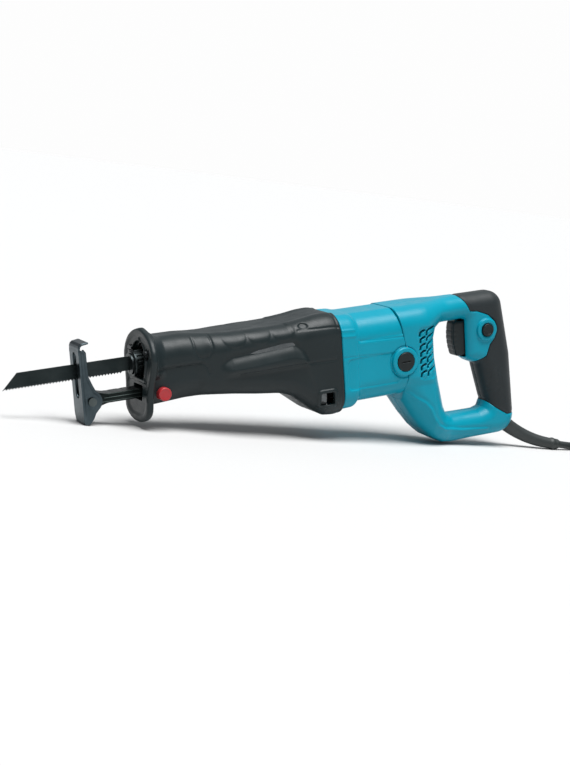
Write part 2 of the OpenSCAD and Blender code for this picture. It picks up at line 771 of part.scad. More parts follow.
module motor_housing() {
    inner_wall = under_cover + wall;
    web_x = seam_x - 12;
    color(teal) bench() difference() {
        union() {
            difference() {
                body_solid(under_cover, neck_x, cover_end + 1.5);
                body_solid(inner_wall, neck_x - 1, cover_end + 2);
            }
            // outer wall, and the web that carries the brush neck
            intersection() {
                difference() {
                    loft(motor_rows());
                    difference() {
                        loft(run_on(motor_rows()), wall);
                        block([web_x, web_x + wall], [-80, 80], [-160, 60]);
                    }
                }
                along_y(-60, 60) before_seam();
            }
            intersection() {
                body_solid(under_cover, neck_x, core_x - 6);
                for (p = screw_places) {
                    side = sign(p[0]) * 50;
                    bar_x(screw_r + 2.5, neck_x, core_x - 6, p[0], p[1]);
                    block([neck_x, core_x - 6], [min(p[0], side), max(p[0], side)], [p[1] - 2, p[1] + 2]);
                }
            }
            bar_x(neck_r, web_x, tail_end, 0, -motor_drop);
            for (s = [-1, 1])
                bar_y(boss_r, min(s * 24, s * boss_y), max(s * 24, s * boss_y), brush_x, -motor_drop);
        }
        bar_x(neck_r - wall, web_x - 1, rear_bearing_x - 2, 0, -motor_drop);
        bar_x(bearing_r + fit, rear_bearing_x - 3, rear_bearing_x + rear_bearing_len + 0.3, 0, -motor_drop);
        for (p = screw_places) {
            bar_x(screw_r + fit, neck_x - 1, core_x - 5, p[0], p[1]);
            bar_x(1.8 * screw_r + gap, core_x - 6, core_x - 2, p[0], p[1]);
        }
        for (s = [-1, 1]) bar_y(8.7, min(s * 14, s * 60), max(s * 14, s * 60), brush_x, -motor_drop);
        block([cover_end - 4, core_x], [-rod_r - 3, rod_r + 3], [-rod_r - 3, rod_r + 3]);
    }
}

module housing_screws() {
    color(steel) bench() for (p = screw_places)
        screw_x(core_x - 6 + fit, core_x - chamber_end, p[0], p[1]);
}

// ---------------------------------------------------------------- handle

function handle_outline() = concat(
    [[seam_x - seam_lean + gap, top_z], [corner_x - 7, top_z]],
    arc(handle_end - 9 - crown_r, top_z - crown_r, crown_r, 88, 4, 6),
    [[handle_end - 2, -46]],
    arc(corner_x, corner_z, corner_r, 3, -90, 8),
    arc(heel_x, heel_z, heel_r, -90, -180, 14),
    [[seam_x + seam_lean + 3, -body_drop + 0.5], [seam_x + seam_lean + gap, -body_drop]]);
function loop_outline() = [
    [loop_front, loop_top - 12], [loop_front + 3, loop_top - 4], [loop_front + 10, loop_top],
    [boss_front, loop_top], [boss_front, -44], [boss_front + 5, -48], [grip_front - 4, -53],
    [grip_front + 1, -75], [grip_front + 5, loop_bottom + 9], [grip_front + 2, loop_bottom + 2],
    [grip_front - 5, loop_bottom], [loop_front + 20, loop_bottom], [loop_front + 14, loop_bottom + 4],
    [loop_front + 10, loop_bottom + 13], [loop_front + 4, -60], [loop_front, -35]];

// Handle as a solid, inset by d from its outside and from the finger loop
module handle_solid(d) {
    difference() {
        union() {
            intersection() {
                along_y(-body_hw, body_hw) offset(delta = -d) polygon(handle_outline());
                along_z(-handle_drop, 40) offset(delta = -d)
                    polygon([[seam_x - 12, -body_hw + 2], [seam_x + 32, -body_hw + 2.5],
                             [loop_front, -leg_hw - 4],
                             [pod_end - 18, -grip_hw - 2], [pod_end, -grip_hw], [pod_end, grip_hw],
                             [pod_end - 18, grip_hw + 2], [loop_front, leg_hw + 4],
                             [seam_x + 32, body_hw - 2.5], [seam_x - 12, body_hw - 2]]);
                along_x(seam_x - 20, pod_end + 1) offset(delta = -d)
                    polygon(concat(arc(body_hw - 20, top_z - 18, 18, 0, 90),
                                   arc(20 - body_hw, top_z - 18, 18, 90, 180),
                                   [[-body_hw + 2, -50], [-leg_hw - 2, -72], [-grip_hw - 2, -96],
                                    [-grip_hw, -handle_drop - 1],
                                    [grip_hw, -handle_drop - 1], [grip_hw + 2, -96], [leg_hw + 2, -72],
                                    [body_hw - 2, -50]]));
            }
            for (s = [[0, 0], [2, 3.2]])
                along_y(-grip_hw + 3.2 - s[1] + d, grip_hw - 3.2 + s[1] - d) intersection() {
                offset(delta = -d - s[0]) polygon(handle_outline());
                translate([280, -handle_drop - 5]) square([180, handle_drop + 60]);
            }
        }
        along_y(-60, 60) offset(delta = d) polygon(loop_outline());
    }
}

module grip_region(extra = 0) {
    offset(delta = extra) polygon([
        [pod_end - 8, top_z + 10], [pod_end + 8, top_z - 6], [pod_end + 13, 3], [lock_x + 7, -7],
        [lock_x + 12, lock_z],
        [lock_x + 6, -27], [lock_x + 1, -33], [lock_x - 3, -46], [grip_front - 12, -50],
        [grip_front - 16, -60],
        [grip_front - 10, loop_bottom + 8], [grip_front + 13, loop_bottom],
        [grip_front + 23, loop_bottom - 7],
        [handle_end + 10, loop_bottom - 7], [handle_end + 10, top_z + 10]]);
}

// Half of the handle: side is -1 on the left and 1 on the right
module half(side) { block([200, 460], side < 0 ? [-80, -0.05] : [0.05, 80], [-180, 60]); }

module handle_shell(side) {
    intersection() {
        difference() {
            union() {
                difference() {
                    handle_solid(0);
                    handle_solid(wall + grip_skin);
                    // the motor end is open to the motor housing and thinner than the grip
                    intersection() {
                        handle_solid(wall);
                        block([200, loop_front - wall], [-80, 80], [-100, 60]);
                    }
                    block([200, seam_x + 14], [-body_hw + 8, body_hw - 8], [-body_drop + 10, top_z - 8]);
                }
                for (p = handle_screw_places) intersection() {
                    handle_solid(0);
                    bar_y(5, -60, 60, p[0], p[1]);
                }
                bar_y(lock_r + 5, side < 0 ? -grip_hw - 2.5 : grip_hw - wall - 3,
                      side < 0 ? 6 - grip_hw : grip_hw + 2.5, lock_x, lock_z);
            }
            // place of the soft grip
            difference() {
                along_y(-60, 60) difference() {
                    grip_region(0);
                    translate([lock_x, lock_z]) circle(r = lock_r + 5.3, $fn = 48);
                }
                handle_solid(grip_skin + gap);
            }
            bar_x(neck_r + gap, 200, tail_end + 1, 0, -motor_drop);
            bar_y(boss_r + gap, -60, 60, brush_x, -motor_drop);
            block([boss_front - 8, lock_x], [-trigger_hw - loose, trigger_hw + loose],
                  [trigger_bottom - loose, trigger_top + loose]);
            block([lock_x - 8, lock_x + 18.5], [-switch_hy - gap, switch_hy + gap], [-48, -5]);
            if (side < 0) bar_y(lock_r + gap, -60, 0, lock_x, lock_z);
            for (p = handle_screw_places) {
                bar_y(1.75 + fit, -grip_hw + 4, 60, p[0], p[1]);
                bar_y(4, grip_hw - 6, 80, p[0], p[1]);
            }
            translate([corner_x, 0, corner_z]) rotate([0, -cord_exit_a, 0]) bar_x(8 + gap, 0, 60);
        }
        half(side);
    }
}

module handle_left() { color(teal) bench() handle_shell(-1); }
module handle_right() { color(teal) bench() handle_shell(1); }

module grip_skin_half(side) {
    intersection() {
        difference() {
            handle_solid(0);
            handle_solid(grip_skin);
            bar_y(lock_r + 5 + gap, -60, 60, lock_x, lock_z);
            for (p = handle_screw_places) bar_y(4, 0, 80, p[0], p[1]);
        }
        along_y(-60, 60) offset(delta = -gap) grip_region();
        half(side);
    }
}

module grip_left() { color(rubber) bench() grip_skin_half(-1); }
module grip_right() { color(rubber) bench() grip_skin_half(1); }

module handle_screws() {
    color(steel) bench() for (p = handle_screw_places) screw_y(grip_hw - 6, 16, p[0], p[1], 1.75);
}

module switch_body() {
    color(charcoal) bench() {
        block([lock_x - 5, lock_x + 18], [-switch_hy, switch_hy], [-47, -6]);
    }
}

module trigger() {
    x = boss_front - trigger_out;
    color(charcoal) bench() along_y(-trigger_hw, trigger_hw) polygon(concat(
        [[boss_front + trigger_in, trigger_top], [x + 3, trigger_top]],
        [for (i = [0 : 8]) let (t = i / 8)
            [x + 1.5 * pow(2 * t - 1, 2) + 3 * (1 - sin(180 * t)) * t,
             trigger_top - 2 - t * (trigger_top - trigger_bottom - 4)]],
        [[x + 6, trigger_bottom], [boss_front + trigger_in, trigger_bottom]]));
}

module lock_button() {
    color(charcoal) bench() {
        bar_y(lock_r, -lock_out, -switch_hy - 4, lock_x, lock_z);
    }
}

module noise_capacitor() {
    color(brass) bench() block([307, 331], [-9, 9], [3, 13]);
}

module cord_clamp() {
    color(charcoal) bench() difference() {
        block([352, 372], [-9, 9], [-handle_drop + 9, -handle_drop + 17]);
        for (y = [-6, 6]) bar_z(1.75 + fit, -handle_drop, -80, 362, y);
    }
}

module cord_clamp_screws() {
    color(steel) bench() for (y = [-6, 6]) {
        bar_z(1.75, -handle_drop + 6.5, -handle_drop + 17.02, 362, y);
        bar_z(3.1, -handle_drop + 17.02, -handle_drop + 19, 362, y);
    }
}

// ---------------------------------------------------------------- shoe

module shoe_arm() {
    low = -pivot_drop - arm_h / 2;
    high = -pivot_drop + arm_h / 2;
    color(dark_steel) bench() difference() {
        union() {
            block([-pivot_x, arm_rear], [-arm_w / 2, arm_w / 2], [low, high]);
            bar_y(arm_h / 2, -arm_w / 2, arm_w / 2, -pivot_x, -pivot_drop);
        }
        bar_y(2.5 + fit, -30, 30, -pivot_x, -pivot_drop);
        // ribs on both sides, and the notches that the release button locks
        for (s = [-1, 1])
            block([-pivot_x + 9, -8], s < 0 ? [-30, -arm_w / 2 + 1.5] : [arm_w / 2 - 1.5, 30],
                  [low + 2, high - 2]);
        block([-pivot_x + 9, -8], [-arm_w / 2 + 4, arm_w / 2 - 4], [high - 3, high + 1]);
        for (i = [0 : 4]) block([12 + 8 * i, 15 + 8 * i], [-30, -arm_w / 2 + 2], [low - 1, high + 1]);
    }
}

module shoe_pin() {
    hw = shoe_w / 2 + 1;
    color(steel) bench() {
        bar_y(2.5, -hw, hw, -pivot_x, -pivot_drop);
        bar_y(4, -hw - 1.4, -hw, -pivot_x, -pivot_drop);
        bar_y(4, hw, hw + 1.4, -pivot_x, -pivot_drop);
    }
}

// Side view of the shoe's two side walls: a rib along the plate that grows into the pivot's ear
module shoe_side() {
    low = -pivot_drop - shoe_down;
    polygon(concat(
        [[shoe_plate_x, -pivot_drop + shoe_up - 8], [shoe_plate_x, low + foot_r]],
        arc(foot_x, foot_z, foot_r, 180, 270, 5),
        [[foot_x + 4, low + 0.6], [-pivot_x + 4, -pivot_drop - ear_r - 2]],
        arc(-pivot_x, -pivot_drop, ear_r, -60, 80, 8),
        [[shoe_plate_x + 7.5, -pivot_drop + 15], [shoe_plate_x + 6.5, -pivot_drop + 30],
         [shoe_plate_x + 5, -pivot_drop + shoe_up - 8]]));
}

module shoe_plate() {
    hw = shoe_w / 2;
    inner = arm_w / 2 + gap;
    color(dark_steel) bench() difference() {
        union() {
            // bent front plate, with its top lip leaning back
            along_y(-hw, hw) polygon([
                [shoe_plate_x, -pivot_drop + shoe_up - 10], [shoe_plate_x + 6, -pivot_drop + shoe_up],
                [shoe_plate_x + 8, -pivot_drop + shoe_up - 1],
                [shoe_plate_x + shoe_t, -pivot_drop + shoe_up - 10.5],
                [shoe_plate_x + shoe_t, foot_z], [shoe_plate_x, foot_z]]);
            for (s = [-1, 1]) along_y(s < 0 ? -hw : hw - 2, s < 0 ? 2 - hw : hw) shoe_side();
            along_y(-hw, hw) polygon(concat(arc(foot_x, foot_z, foot_r, 180, 360, 10)));
        }
        block([shoe_plate_x - 1, shoe_plate_x + 12], [-shoe_slot / 2, shoe_slot / 2],
              [-pivot_drop + 4, -pivot_drop + shoe_up - 12]);
        bar_y(2.5 + run, -30, 30, -pivot_x, -pivot_drop);
        block([-pivot_x - arm_h / 2 - 1.5, 0], [-inner, inner], [-pivot_drop - 30, -pivot_drop + 20]);
    }
}

module shoe_release_button() {
    color(red) bench() {
        bar_y(button_r, -button_out, -arm_window - button_travel - 0.6, button_x, -pivot_drop);
    }
}

// ---------------------------------------------------------------- cord and plug

module cord_guard() { color(rubber) sweep(guard_route, 8, 5.5, 16); }

module power_cord() {
    color(rubber) {
        sweep(cord_route, cord_d / 2, cord_d / 2, 10);
        sweep(plug_route, cord_d / 2, cord_d / 2, 10);
    }
}

// Section of the wound coil, whose upper layer is one turn narrower, grown all round
module coil_section(grow, foot) {
    inside = coil_in_r - cord_d / 2 - grow;
    outside = coil_out_r + cord_d / 2 + grow;
    polygon([
        [inside, foot], [outside, foot], [outside, cord_d + grow], [outside - cord_d, cord_d + grow],
        [outside - cord_d, 2 * cord_d + grow], [inside, 2 * cord_d + grow]]);
}

module cord_coil() {
    color(rubber) translate([coil_x, coil_y, 0]) rotate_extrude($fn = 96) coil_section(0, 0);
}

module coil_tie() {
    inside = coil_in_r - cord_d / 2 - tie_t;
    outside = coil_out_r + cord_d / 2 + tie_t;
    color(charcoal) translate([coil_x, coil_y, 0]) rotate([0, 0, -90]) difference() {
        union() {
            block([inside, outside], [-tie_w / 2, tie_w / 2], [0, cord_d + tie_t]);
            block([inside, outside - cord_d], [-tie_w / 2, tie_w / 2], [0, 2 * cord_d + tie_t]);
        }
        rotate_extrude($fn = 96) coil_section(gap, -1);
    }
}

// Places what is drawn towards -Y from the end of the cord, so that the plug points to -X
module on_plug() { translate([plug_x, plug_y, plug_z]) rotate([0, 0, -90]) children(); }

module plug_body() {
    color(rubber) on_plug() difference() {
        rotate([90, 0, 0]) {
            cylinder(r1 = 4.6, r2 = 7, h = 16, $fn = 48);
            intersection() {
                translate([0, 0, 15]) cylinder(r = plug_hw, h = plug_len - 15, $fn = 72);
                translate([-plug_hw, -plug_hz, 10]) cube([2 * plug_hw, 2 * plug_hz, plug_len]);
            }
        }
        for (s = [-1, 1]) bar_y(pin_root_r + fit, -plug_len - 1, 8 - plug_len, s * pin_space / 2);
    }
}

module plug_pins() {
    color(brass) on_plug() for (s = [-1, 1]) {
        bar_y(pin_r, -plug_len - pin_len, -plug_len, s * pin_space / 2);
        bar_y(pin_root_r, -plug_len - 1, 8 - plug_len, s * pin_space / 2);
    }
}

saw_blade();
clamp_body();
clamp_pin();
clamp_spring();
clamp_sleeve();
plunger_bar();
scotch_yoke();
crank_roller();
crank_disc();
bevel_gear();
gear_shaft();
gear_bearing();
plunger_bushes();
plunger_seal();
armature_shaft();
drive_pinion();
cooling_fan();
armature_core();
armature_windings();
commutator();
motor_bearings();
stator_core();
field_windings();
baffle_plate();
brush_holders();
carbon_brushes();
brush_caps();
gear_housing();
bearing_box();
insulation_cover();
hand_guard();
guard_screws();
motor_housing();
housing_screws();
handle_left();
handle_right();
grip_left();
grip_right();
handle_screws();
switch_body();
trigger();
lock_button();
noise_capacitor();
cord_clamp();
cord_clamp_screws();
shoe_arm();
shoe_pin();
shoe_plate();
shoe_release_button();
cord_guard();
power_cord();
cord_coil();
coil_tie();
plug_body();
plug_pins();
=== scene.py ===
# Corded reciprocating saw, standing nose down on its shoe and on the heel of its loop handle.
# The sections follow the tool as it is put together, each with its own sizes, finish and mesh.
# Shapes are drawn in millimetres in the tool's frame: its zero is the middle of the hand guard's
# face, x runs along the plunger to the handle, y across to the right-hand side, and z up.

import json
import math

import bmesh
import bpy
import numpy as np
import openvdb
from mathutils import Matrix, Vector


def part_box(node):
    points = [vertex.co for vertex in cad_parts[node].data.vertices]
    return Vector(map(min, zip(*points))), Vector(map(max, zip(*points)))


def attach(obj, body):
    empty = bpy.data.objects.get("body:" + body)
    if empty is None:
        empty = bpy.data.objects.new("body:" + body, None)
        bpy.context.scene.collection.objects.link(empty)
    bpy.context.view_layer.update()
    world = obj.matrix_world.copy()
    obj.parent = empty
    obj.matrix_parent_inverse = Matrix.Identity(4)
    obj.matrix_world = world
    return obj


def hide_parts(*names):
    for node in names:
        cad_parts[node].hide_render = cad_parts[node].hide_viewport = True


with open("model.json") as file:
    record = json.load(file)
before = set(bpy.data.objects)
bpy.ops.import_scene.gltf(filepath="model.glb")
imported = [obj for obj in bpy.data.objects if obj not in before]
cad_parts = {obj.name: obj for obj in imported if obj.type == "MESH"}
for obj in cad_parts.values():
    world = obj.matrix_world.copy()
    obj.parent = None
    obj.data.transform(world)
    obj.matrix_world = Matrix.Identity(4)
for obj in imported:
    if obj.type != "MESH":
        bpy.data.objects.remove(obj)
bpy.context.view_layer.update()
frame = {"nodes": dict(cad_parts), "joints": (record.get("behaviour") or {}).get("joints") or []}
nodes = frame["nodes"]
joint = {j["name"]: j for j in frame["joints"]}

# ---------------------------------------------------------------- camera and studio
# A studio bench with a pale seamless top, under three wide even lights: a strong one overhead and
# weak ones beside the camera and behind the tool. The camera looks at the left side, from in front
# and a little above.

nose = np.array(joint["clamp_sleeve_turn"]["pos_m"])
back = np.array(joint["armature_spin"]["axis"])
across = np.array([0.0, 1.0, 0.0])
up = np.cross(back, across)


def at(points):
    """Places on the bench, in metres, of points in the tool's frame, in millimetres."""
    p = np.asarray(points, float) / 1000
    return nose + p[..., :1] * back + p[..., 1:2] * across + p[..., 2:3] * up


swing, rise, roll = (math.radians(a) for a in (25, 12, 3.7))
level = np.array([math.cos(swing), -math.sin(swing), 0])
ahead = np.array([math.sin(swing), math.cos(swing), 0])
over = ahead * math.sin(rise) + (0, 0, math.cos(rise))
sight = ahead * math.cos(rise) - (0, 0, math.sin(rise))
right = level * math.cos(roll) - over * math.sin(roll)
top = level * math.sin(roll) + over * math.cos(roll)
stand_off, aside, below = 1649, 139.4, 18.6
eye = at(aside * right - below * top - stand_off * sight)
turn = np.column_stack([at(v) - nose for v in (right, top, -sight)]) * 1000

camera = bpy.data.objects.new("camera", bpy.data.cameras.new("camera"))
bpy.context.scene.collection.objects.link(camera)
camera.matrix_world = Matrix.Translation(eye) @ Matrix(turn).to_4x4()
camera.data.lens = 82.4
camera.data.clip_start, camera.data.clip_end = 0.05, 100
bpy.context.scene.camera = camera
bpy.context.scene.view_settings.view_transform = "Standard"


def finish_of(name):
    """A new material: (material, its node tree, its shader, the place on the piece)."""
    made = bpy.data.materials.new(name)
    made.use_nodes = True
    tree = made.node_tree
    place = tree.nodes.new("ShaderNodeTexCoord").outputs["Object"]
    return made, tree, tree.nodes["Principled BSDF"], place


def mottle(tree, place, fine, detail=4.0, rough=0.55, stretch=(1, 1, 1)):
    """Uneven patches, `fine` of them to the metre, drawn out by `stretch`."""
    scaled = tree.nodes.new("ShaderNodeMapping")
    scaled.inputs["Scale"].default_value = stretch
    patches = tree.nodes.new("ShaderNodeTexNoise")
    patches.inputs["Scale"].default_value = fine
    patches.inputs["Detail"].default_value = detail
    patches.inputs["Roughness"].default_value = rough
    tree.links.new(place, scaled.inputs["Vector"])
    tree.links.new(scaled.outputs[0], patches.inputs["Vector"])
    return patches.outputs["Fac"]


def tones(tree, value, stops):
    """Colours run over a value, from stops of (value, colour)."""
    ramp = tree.nodes.new("ShaderNodeValToRGB")
    while len(ramp.color_ramp.elements) < len(stops):
        ramp.color_ramp.elements.new(0.5)
    for element, (where, colour) in zip(ramp.color_ramp.elements, stops):
        element.position, element.color = where, (*colour, 1)
    tree.links.new(value, ramp.inputs[0])
    return ramp.outputs[0]


def spread(tree, value, low, high, frm=0.3, to=0.7):
    """A value's middle range stretched over low to high."""
    put = tree.nodes.new("ShaderNodeMapRange")
    for socket, number in zip(("From Min", "From Max", "To Min", "To Max"), (frm, to, low, high)):
        put.inputs[socket].default_value = number
    tree.links.new(value, put.inputs["Value"])
    return put.outputs[0]


def relief(tree, shader, *layers):
    """Bumps on the surface, from layers of (value, depth in metres)."""
    under = None
    for value, depth in layers:
        bump = tree.nodes.new("ShaderNodeBump")
        bump.inputs["Distance"].default_value = depth
        tree.links.new(value, bump.inputs["Height"])
        if under:
            tree.links.new(under, bump.inputs["Normal"])
        under = bump.outputs["Normal"]
    tree.links.new(under, shader.inputs["Normal"])


def rub(tree, colour, worn, amount, edge=(0.56, 0.70)):
    """A colour that wears to another along its outer edges."""
    shape = tree.nodes.new("ShaderNodeNewGeometry")
    where = spread(tree, shape.outputs["Pointiness"], 0, amount, *edge)
    mix = tree.nodes.new("ShaderNodeMix")
    mix.data_type = "RGBA"
    for a, b in ((where, mix.inputs["Factor"]), (colour, mix.inputs[6])):
        tree.links.new(a, b)
    mix.inputs[7].default_value = (*worn, 1)
    return mix.outputs[2]


bench_top, tree, shader, place = finish_of("bench_paper")
grain = mottle(tree, place, 260, 6)
paper = tones(tree, grain, [(0.2, (0.590, 0.590, 0.588)), (0.8, (0.606, 0.606, 0.604))])
tree.links.new(paper, shader.inputs["Base Color"])
relief(tree, shader, (grain, 0.00004))
shader.inputs["Roughness"].default_value = 0.85
shader.inputs["Specular IOR Level"].default_value = 0.2
sheet = bpy.data.meshes.new("bench")
reach = 40
corners = [(-reach, -reach, 0), (reach, -reach, 0), (reach, reach, 0), (-reach, reach, 0)]
sheet.from_pydata(corners, [], [(0, 1, 2, 3)])
sheet.materials.append(bench_top)
bench = bpy.data.objects.new("bench", sheet)
bpy.context.scene.collection.objects.link(bench)

world = bpy.data.worlds.new("studio")
world.use_nodes = True
room = world.node_tree
dim = room.nodes["Background"]
dim.inputs["Color"].default_value, dim.inputs["Strength"].default_value = (0.90, 0.95, 1.0, 1), 0.22
wall = room.nodes.new("ShaderNodeBackground")
wall.inputs["Color"].default_value, wall.inputs["Strength"].default_value = (1, 1, 1, 1), 0.985
seen, either = room.nodes.new("ShaderNodeLightPath"), room.nodes.new("ShaderNodeMixShader")
room.links.new(seen.outputs["Is Camera Ray"], either.inputs[0])
room.links.new(dim.outputs[0], either.inputs[1])
room.links.new(wall.outputs[0], either.inputs[2])
room.links.new(either.outputs[0], room.nodes["World Output"].inputs["Surface"])
bpy.context.scene.world = world


def lamp(name, towards, strength, spread_deg):
    """A large even light, coming from the direction `towards`."""
    made = bpy.data.lights.new(name, "SUN")
    made.energy, made.angle = strength, math.radians(spread_deg)
    held = bpy.data.objects.new(name, made)
    bpy.context.scene.collection.objects.link(held)
    held.matrix_world = Vector(towards).to_track_quat("Z", "Y").to_matrix().to_4x4()


lamp("overhead", (0, -0.3, 1), 4.75, 42)
lamp("beside", (-0.9, -1.0, 0.7), 0.08, 60)
lamp("behind", (0.5, 1.0, 0.8), 0.25, 60)

# ---------------------------------------------------------------- mains lead
# Round two-core lead, 7.5 mm over its rubber sheath. It leaves the heel of the handle through a
# tapered sleeve, lies on the bench and is wound into a coil of eight turns in two layers, held by
# a hook-and-loop strap. It ends in a half turn over the coil, with its moulded plug lying on top.

lead_d = 0.0075
exit_at = (0.338, -0.0084, 0.006)
lead_route = [exit_at, (0.3528, -0.0067, 0.0048), (0.3676, -0.0008, 0.004), (0.3824, 0.0068, 0.00375),
              (0.3972, 0.0133, 0.00375), (0.412, 0.016, 0.00375)]
coil_x, coil_y = 0.412, -0.044
floor_rings = (0.060, 0.0525, 0.045, 0.0375, 0.030)
upper_rings = (0.030, 0.0375, 0.045, 0.0525)
coil_turns = 8
climb_at, climb_part = 4.46, 0.20
turn_x, turn_y, turn_r = 0.420, -0.0225, 0.031
neck_z = 0.02528


def ease(t):
    """0 before 0, 1 after 1, and a smooth run between."""
    t = np.clip(t, 0, 1)
    return t * t * (3 - 2 * t)


def coil_line(turns, steps=40):
    """Line of the coil. Each floor ring shifts inwards at the end of its turn, the lead climbs, and
    each upper ring shifts outwards before it meets that climb."""
    line, shift_in, shift_out = [], 0.20, 0.22
    for i in range(int(turns * steps) + 1):
        t = i / steps
        radius = floor_rings[0]
        for k in range(1, len(floor_rings)):
            radius += (floor_rings[k] - floor_rings[k - 1]) * ease((t - k + shift_in) / shift_in)
        for k in range(1, len(upper_rings)):
            radius += (upper_rings[k] - upper_rings[k - 1]) * ease((t - k - 4.12) / shift_out)
        z = lead_d / 2 + lead_d * ease((t - climb_at) / climb_part)
        angle = math.pi / 2 - 2 * math.pi * t
        line.append((coil_x + radius * math.cos(angle), coil_y + radius * math.sin(angle), z))
    return line


def along_line(points, count):
    """Even points on the smooth curve through a few."""
    p = np.asarray(points, float)
    run = np.r_[0, np.cumsum(np.linalg.norm(np.diff(p, axis=0), axis=1))]
    slope = np.gradient(p, run, axis=0)
    s = np.linspace(0, run[-1], count)
    k = np.clip(np.searchsorted(run, s, "right") - 1, 0, len(p) - 2)
    h = (run[k + 1] - run[k])[:, None]
    t = (s - run[k])[:, None] / h
    return s, (
        (2 * t**3 - 3 * t**2 + 1) * p[k] + (t**3 - 2 * t**2 + t) * h * slope[k]
        + (3 * t**2 - 2 * t**3) * p[k + 1] + (t**3 - t**2) * h * slope[k + 1])


half_turn = []
for degrees in range(88, -91, -4):
    a = math.radians(degrees)
    onto_coil, to_plug = float(ease((98 - degrees) / 60)), float(ease((-30 - degrees) / 60))
    half_turn.append((turn_x + turn_r * math.cos(a), turn_y + turn_r * math.sin(a),
                      lead_d * (1.5 + onto_coil) + (neck_z - 2.5 * lead_d) * to_plug))
plug_neck = [(coil_x + 0.004, half_turn[-1][1], neck_z), (coil_x - 0.004, half_turn[-1][1], neck_z)]
lead_in = [tuple(p) for p in along_line(lead_route, 22)[1]]
lead_line = lead_in[:-1] + coil_line(coil_turns) + half_turn + plug_neck

rubber, tree, shader, place = finish_of("lead_rubber")
dust = mottle(tree, place, 30, 5)
pores = mottle(tree, place, 1600, 3)
sheath = tones(tree, dust, [(0.3, (0.018, 0.023, 0.023)), (0.7, (0.028, 0.034, 0.034))])
tree.links.new(sheath, shader.inputs["Base Color"])
tree.links.new(spread(tree, pores, 0.42, 0.58), shader.inputs["Roughness"])
relief(tree, shader, (pores, 0.00006))


def hose(name, line, radii, sides=28):
    """Closed round tube, in metres, along a line of points, with its own radius at each."""
    line = np.asarray(line, float)
    ahead = np.gradient(line, axis=0)
    ahead /= np.linalg.norm(ahead, axis=1)[:, None]
    side = np.cross(ahead[0], (0, 0, 1.0))
    ring, rings = np.linspace(0, 2 * math.pi, sides, endpoint=False), []
    for p, f, r in zip(line, ahead, radii):
        side = side - f * (side @ f)
        side /= np.linalg.norm(side)
        rings.append(p + r * (np.cos(ring)[:, None] * side + np.sin(ring)[:, None] * np.cross(f, side)))
    return loft(name, rings)


def loft(name, rings, closed=False):
    """Skin over rings of points, in metres, capped at both ends unless closed into a loop."""
    work, sides = bmesh.new(), len(rings[0])
    verts = [[work.verts.new(p) for p in ring] for ring in rings]
    pairs = list(zip(verts, verts[1:])) + ([(verts[-1], verts[0])] if closed else [])
    for a, b in pairs:
        for i in range(sides):
            work.faces.new((a[i], a[(i + 1) % sides], b[(i + 1) % sides], b[i]))
    if not closed:
        work.faces.new(verts[0][::-1])
        work.faces.new(verts[-1])
    bmesh.ops.recalc_face_normals(work, faces=work.faces)
    mesh = bpy.data.meshes.new(name)
    work.to_mesh(mesh)
    work.free()
    mesh.shade_smooth()
    piece = bpy.data.objects.new(name, mesh)
    bpy.context.scene.collection.objects.link(piece)
    return piece


def fit(piece, finish, body, slot, *stands_for):
    """Gives a piece its finish and the body that it rides on, and hides the CAD nodes it stands for;
    slot is not used.
    """
    piece.data.materials.append(finish)
    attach(piece, body)
    if stands_for:
        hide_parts(*stands_for)
    return piece


curve = bpy.data.curves.new("mains_lead", "CURVE")
curve.dimensions, curve.bevel_depth, curve.bevel_resolution = "3D", lead_d / 2, 6
curve.use_fill_caps = True
spline = curve.splines.new("POLY")
spline.points.add(len(lead_line) - 1)
spline.points.foreach_set("co", [c for p in lead_line for c in (*p, 1)])
spline.use_smooth = True
mains_lead = bpy.data.objects.new("mains_lead", curve)
bpy.context.scene.collection.objects.link(mains_lead)
fit(mains_lead, rubber, "housing", "cord_rubber", "power_cord", "cord_coil")


def groove(gap, width):
    """Share of a groove's depth at a distance from its middle line."""
    return np.exp(-((gap / width) ** 2))


# Smooth tapered sleeve over the lead, with a bead moulded round it near its end
sleeve_line = [
    (0.257, 0, 0.033), (0.266, 0, 0.0277), (0.276, 0, 0.022), (0.287, -0.001, 0.0166),
    (0.299, -0.003, 0.012), (0.312, -0.0052, 0.0086), (0.326, -0.0073, 0.0067), exit_at
]
run, sleeve_points = along_line(sleeve_line, 220)
to_end, share = run - run[-1], run / run[-1]
bead, rounding = 0.0008 * groove(to_end + 0.0085, 0.0022), 0.0009 * groove(to_end, 0.0012)
radii = 0.0079 - 0.0026 * share + (bead - rounding)
lead_sleeve = hose("lead_sleeve", sleeve_points, radii, 40)
fit(lead_sleeve, rubber, "housing", "cord_rubber", "cord_guard")

# Strap round the bundle, a flat woven band
strap, tree, shader, place = finish_of("strap_weave")
weave = tree.nodes.new("ShaderNodeTexWave")
weave.bands_direction = "X"
weave.inputs["Scale"].default_value = 400
weave.inputs["Distortion"].default_value = 0.8
tree.links.new(place, weave.inputs["Vector"])
fuzz = mottle(tree, place, 2200, 4)
yarn = tones(tree, fuzz, [(0.3, (0.010, 0.010, 0.011)), (0.75, (0.035, 0.035, 0.037))])
tree.links.new(yarn, shader.inputs["Base Color"])
relief(tree, shader, (weave.outputs["Fac"], 0.00025), (fuzz, 0.0001))
shader.inputs["Roughness"].default_value = 0.9
band_w, band_t = 0.010, 0.0011
inner, outer, high = floor_rings[-1] - lead_d / 2, floor_rings[0] + lead_d / 2, 2 * lead_d
loop = [(inner - 0.0002, 0.0012), (inner - 0.0002, 0.0152), (inner + 0.001, high + 0.0002),
        (upper_rings[-1] + 0.003, high + 0.0002), (upper_rings[-1] + 0.0045, high - 0.001),
        (outer - 0.001, lead_d + 0.0016), (outer + 0.0002, lead_d - 0.001), (outer + 0.0002, 0.0012),
        (outer - 0.001, 0.0004), (inner + 0.001, 0.0004)]
loop = np.array(loop)
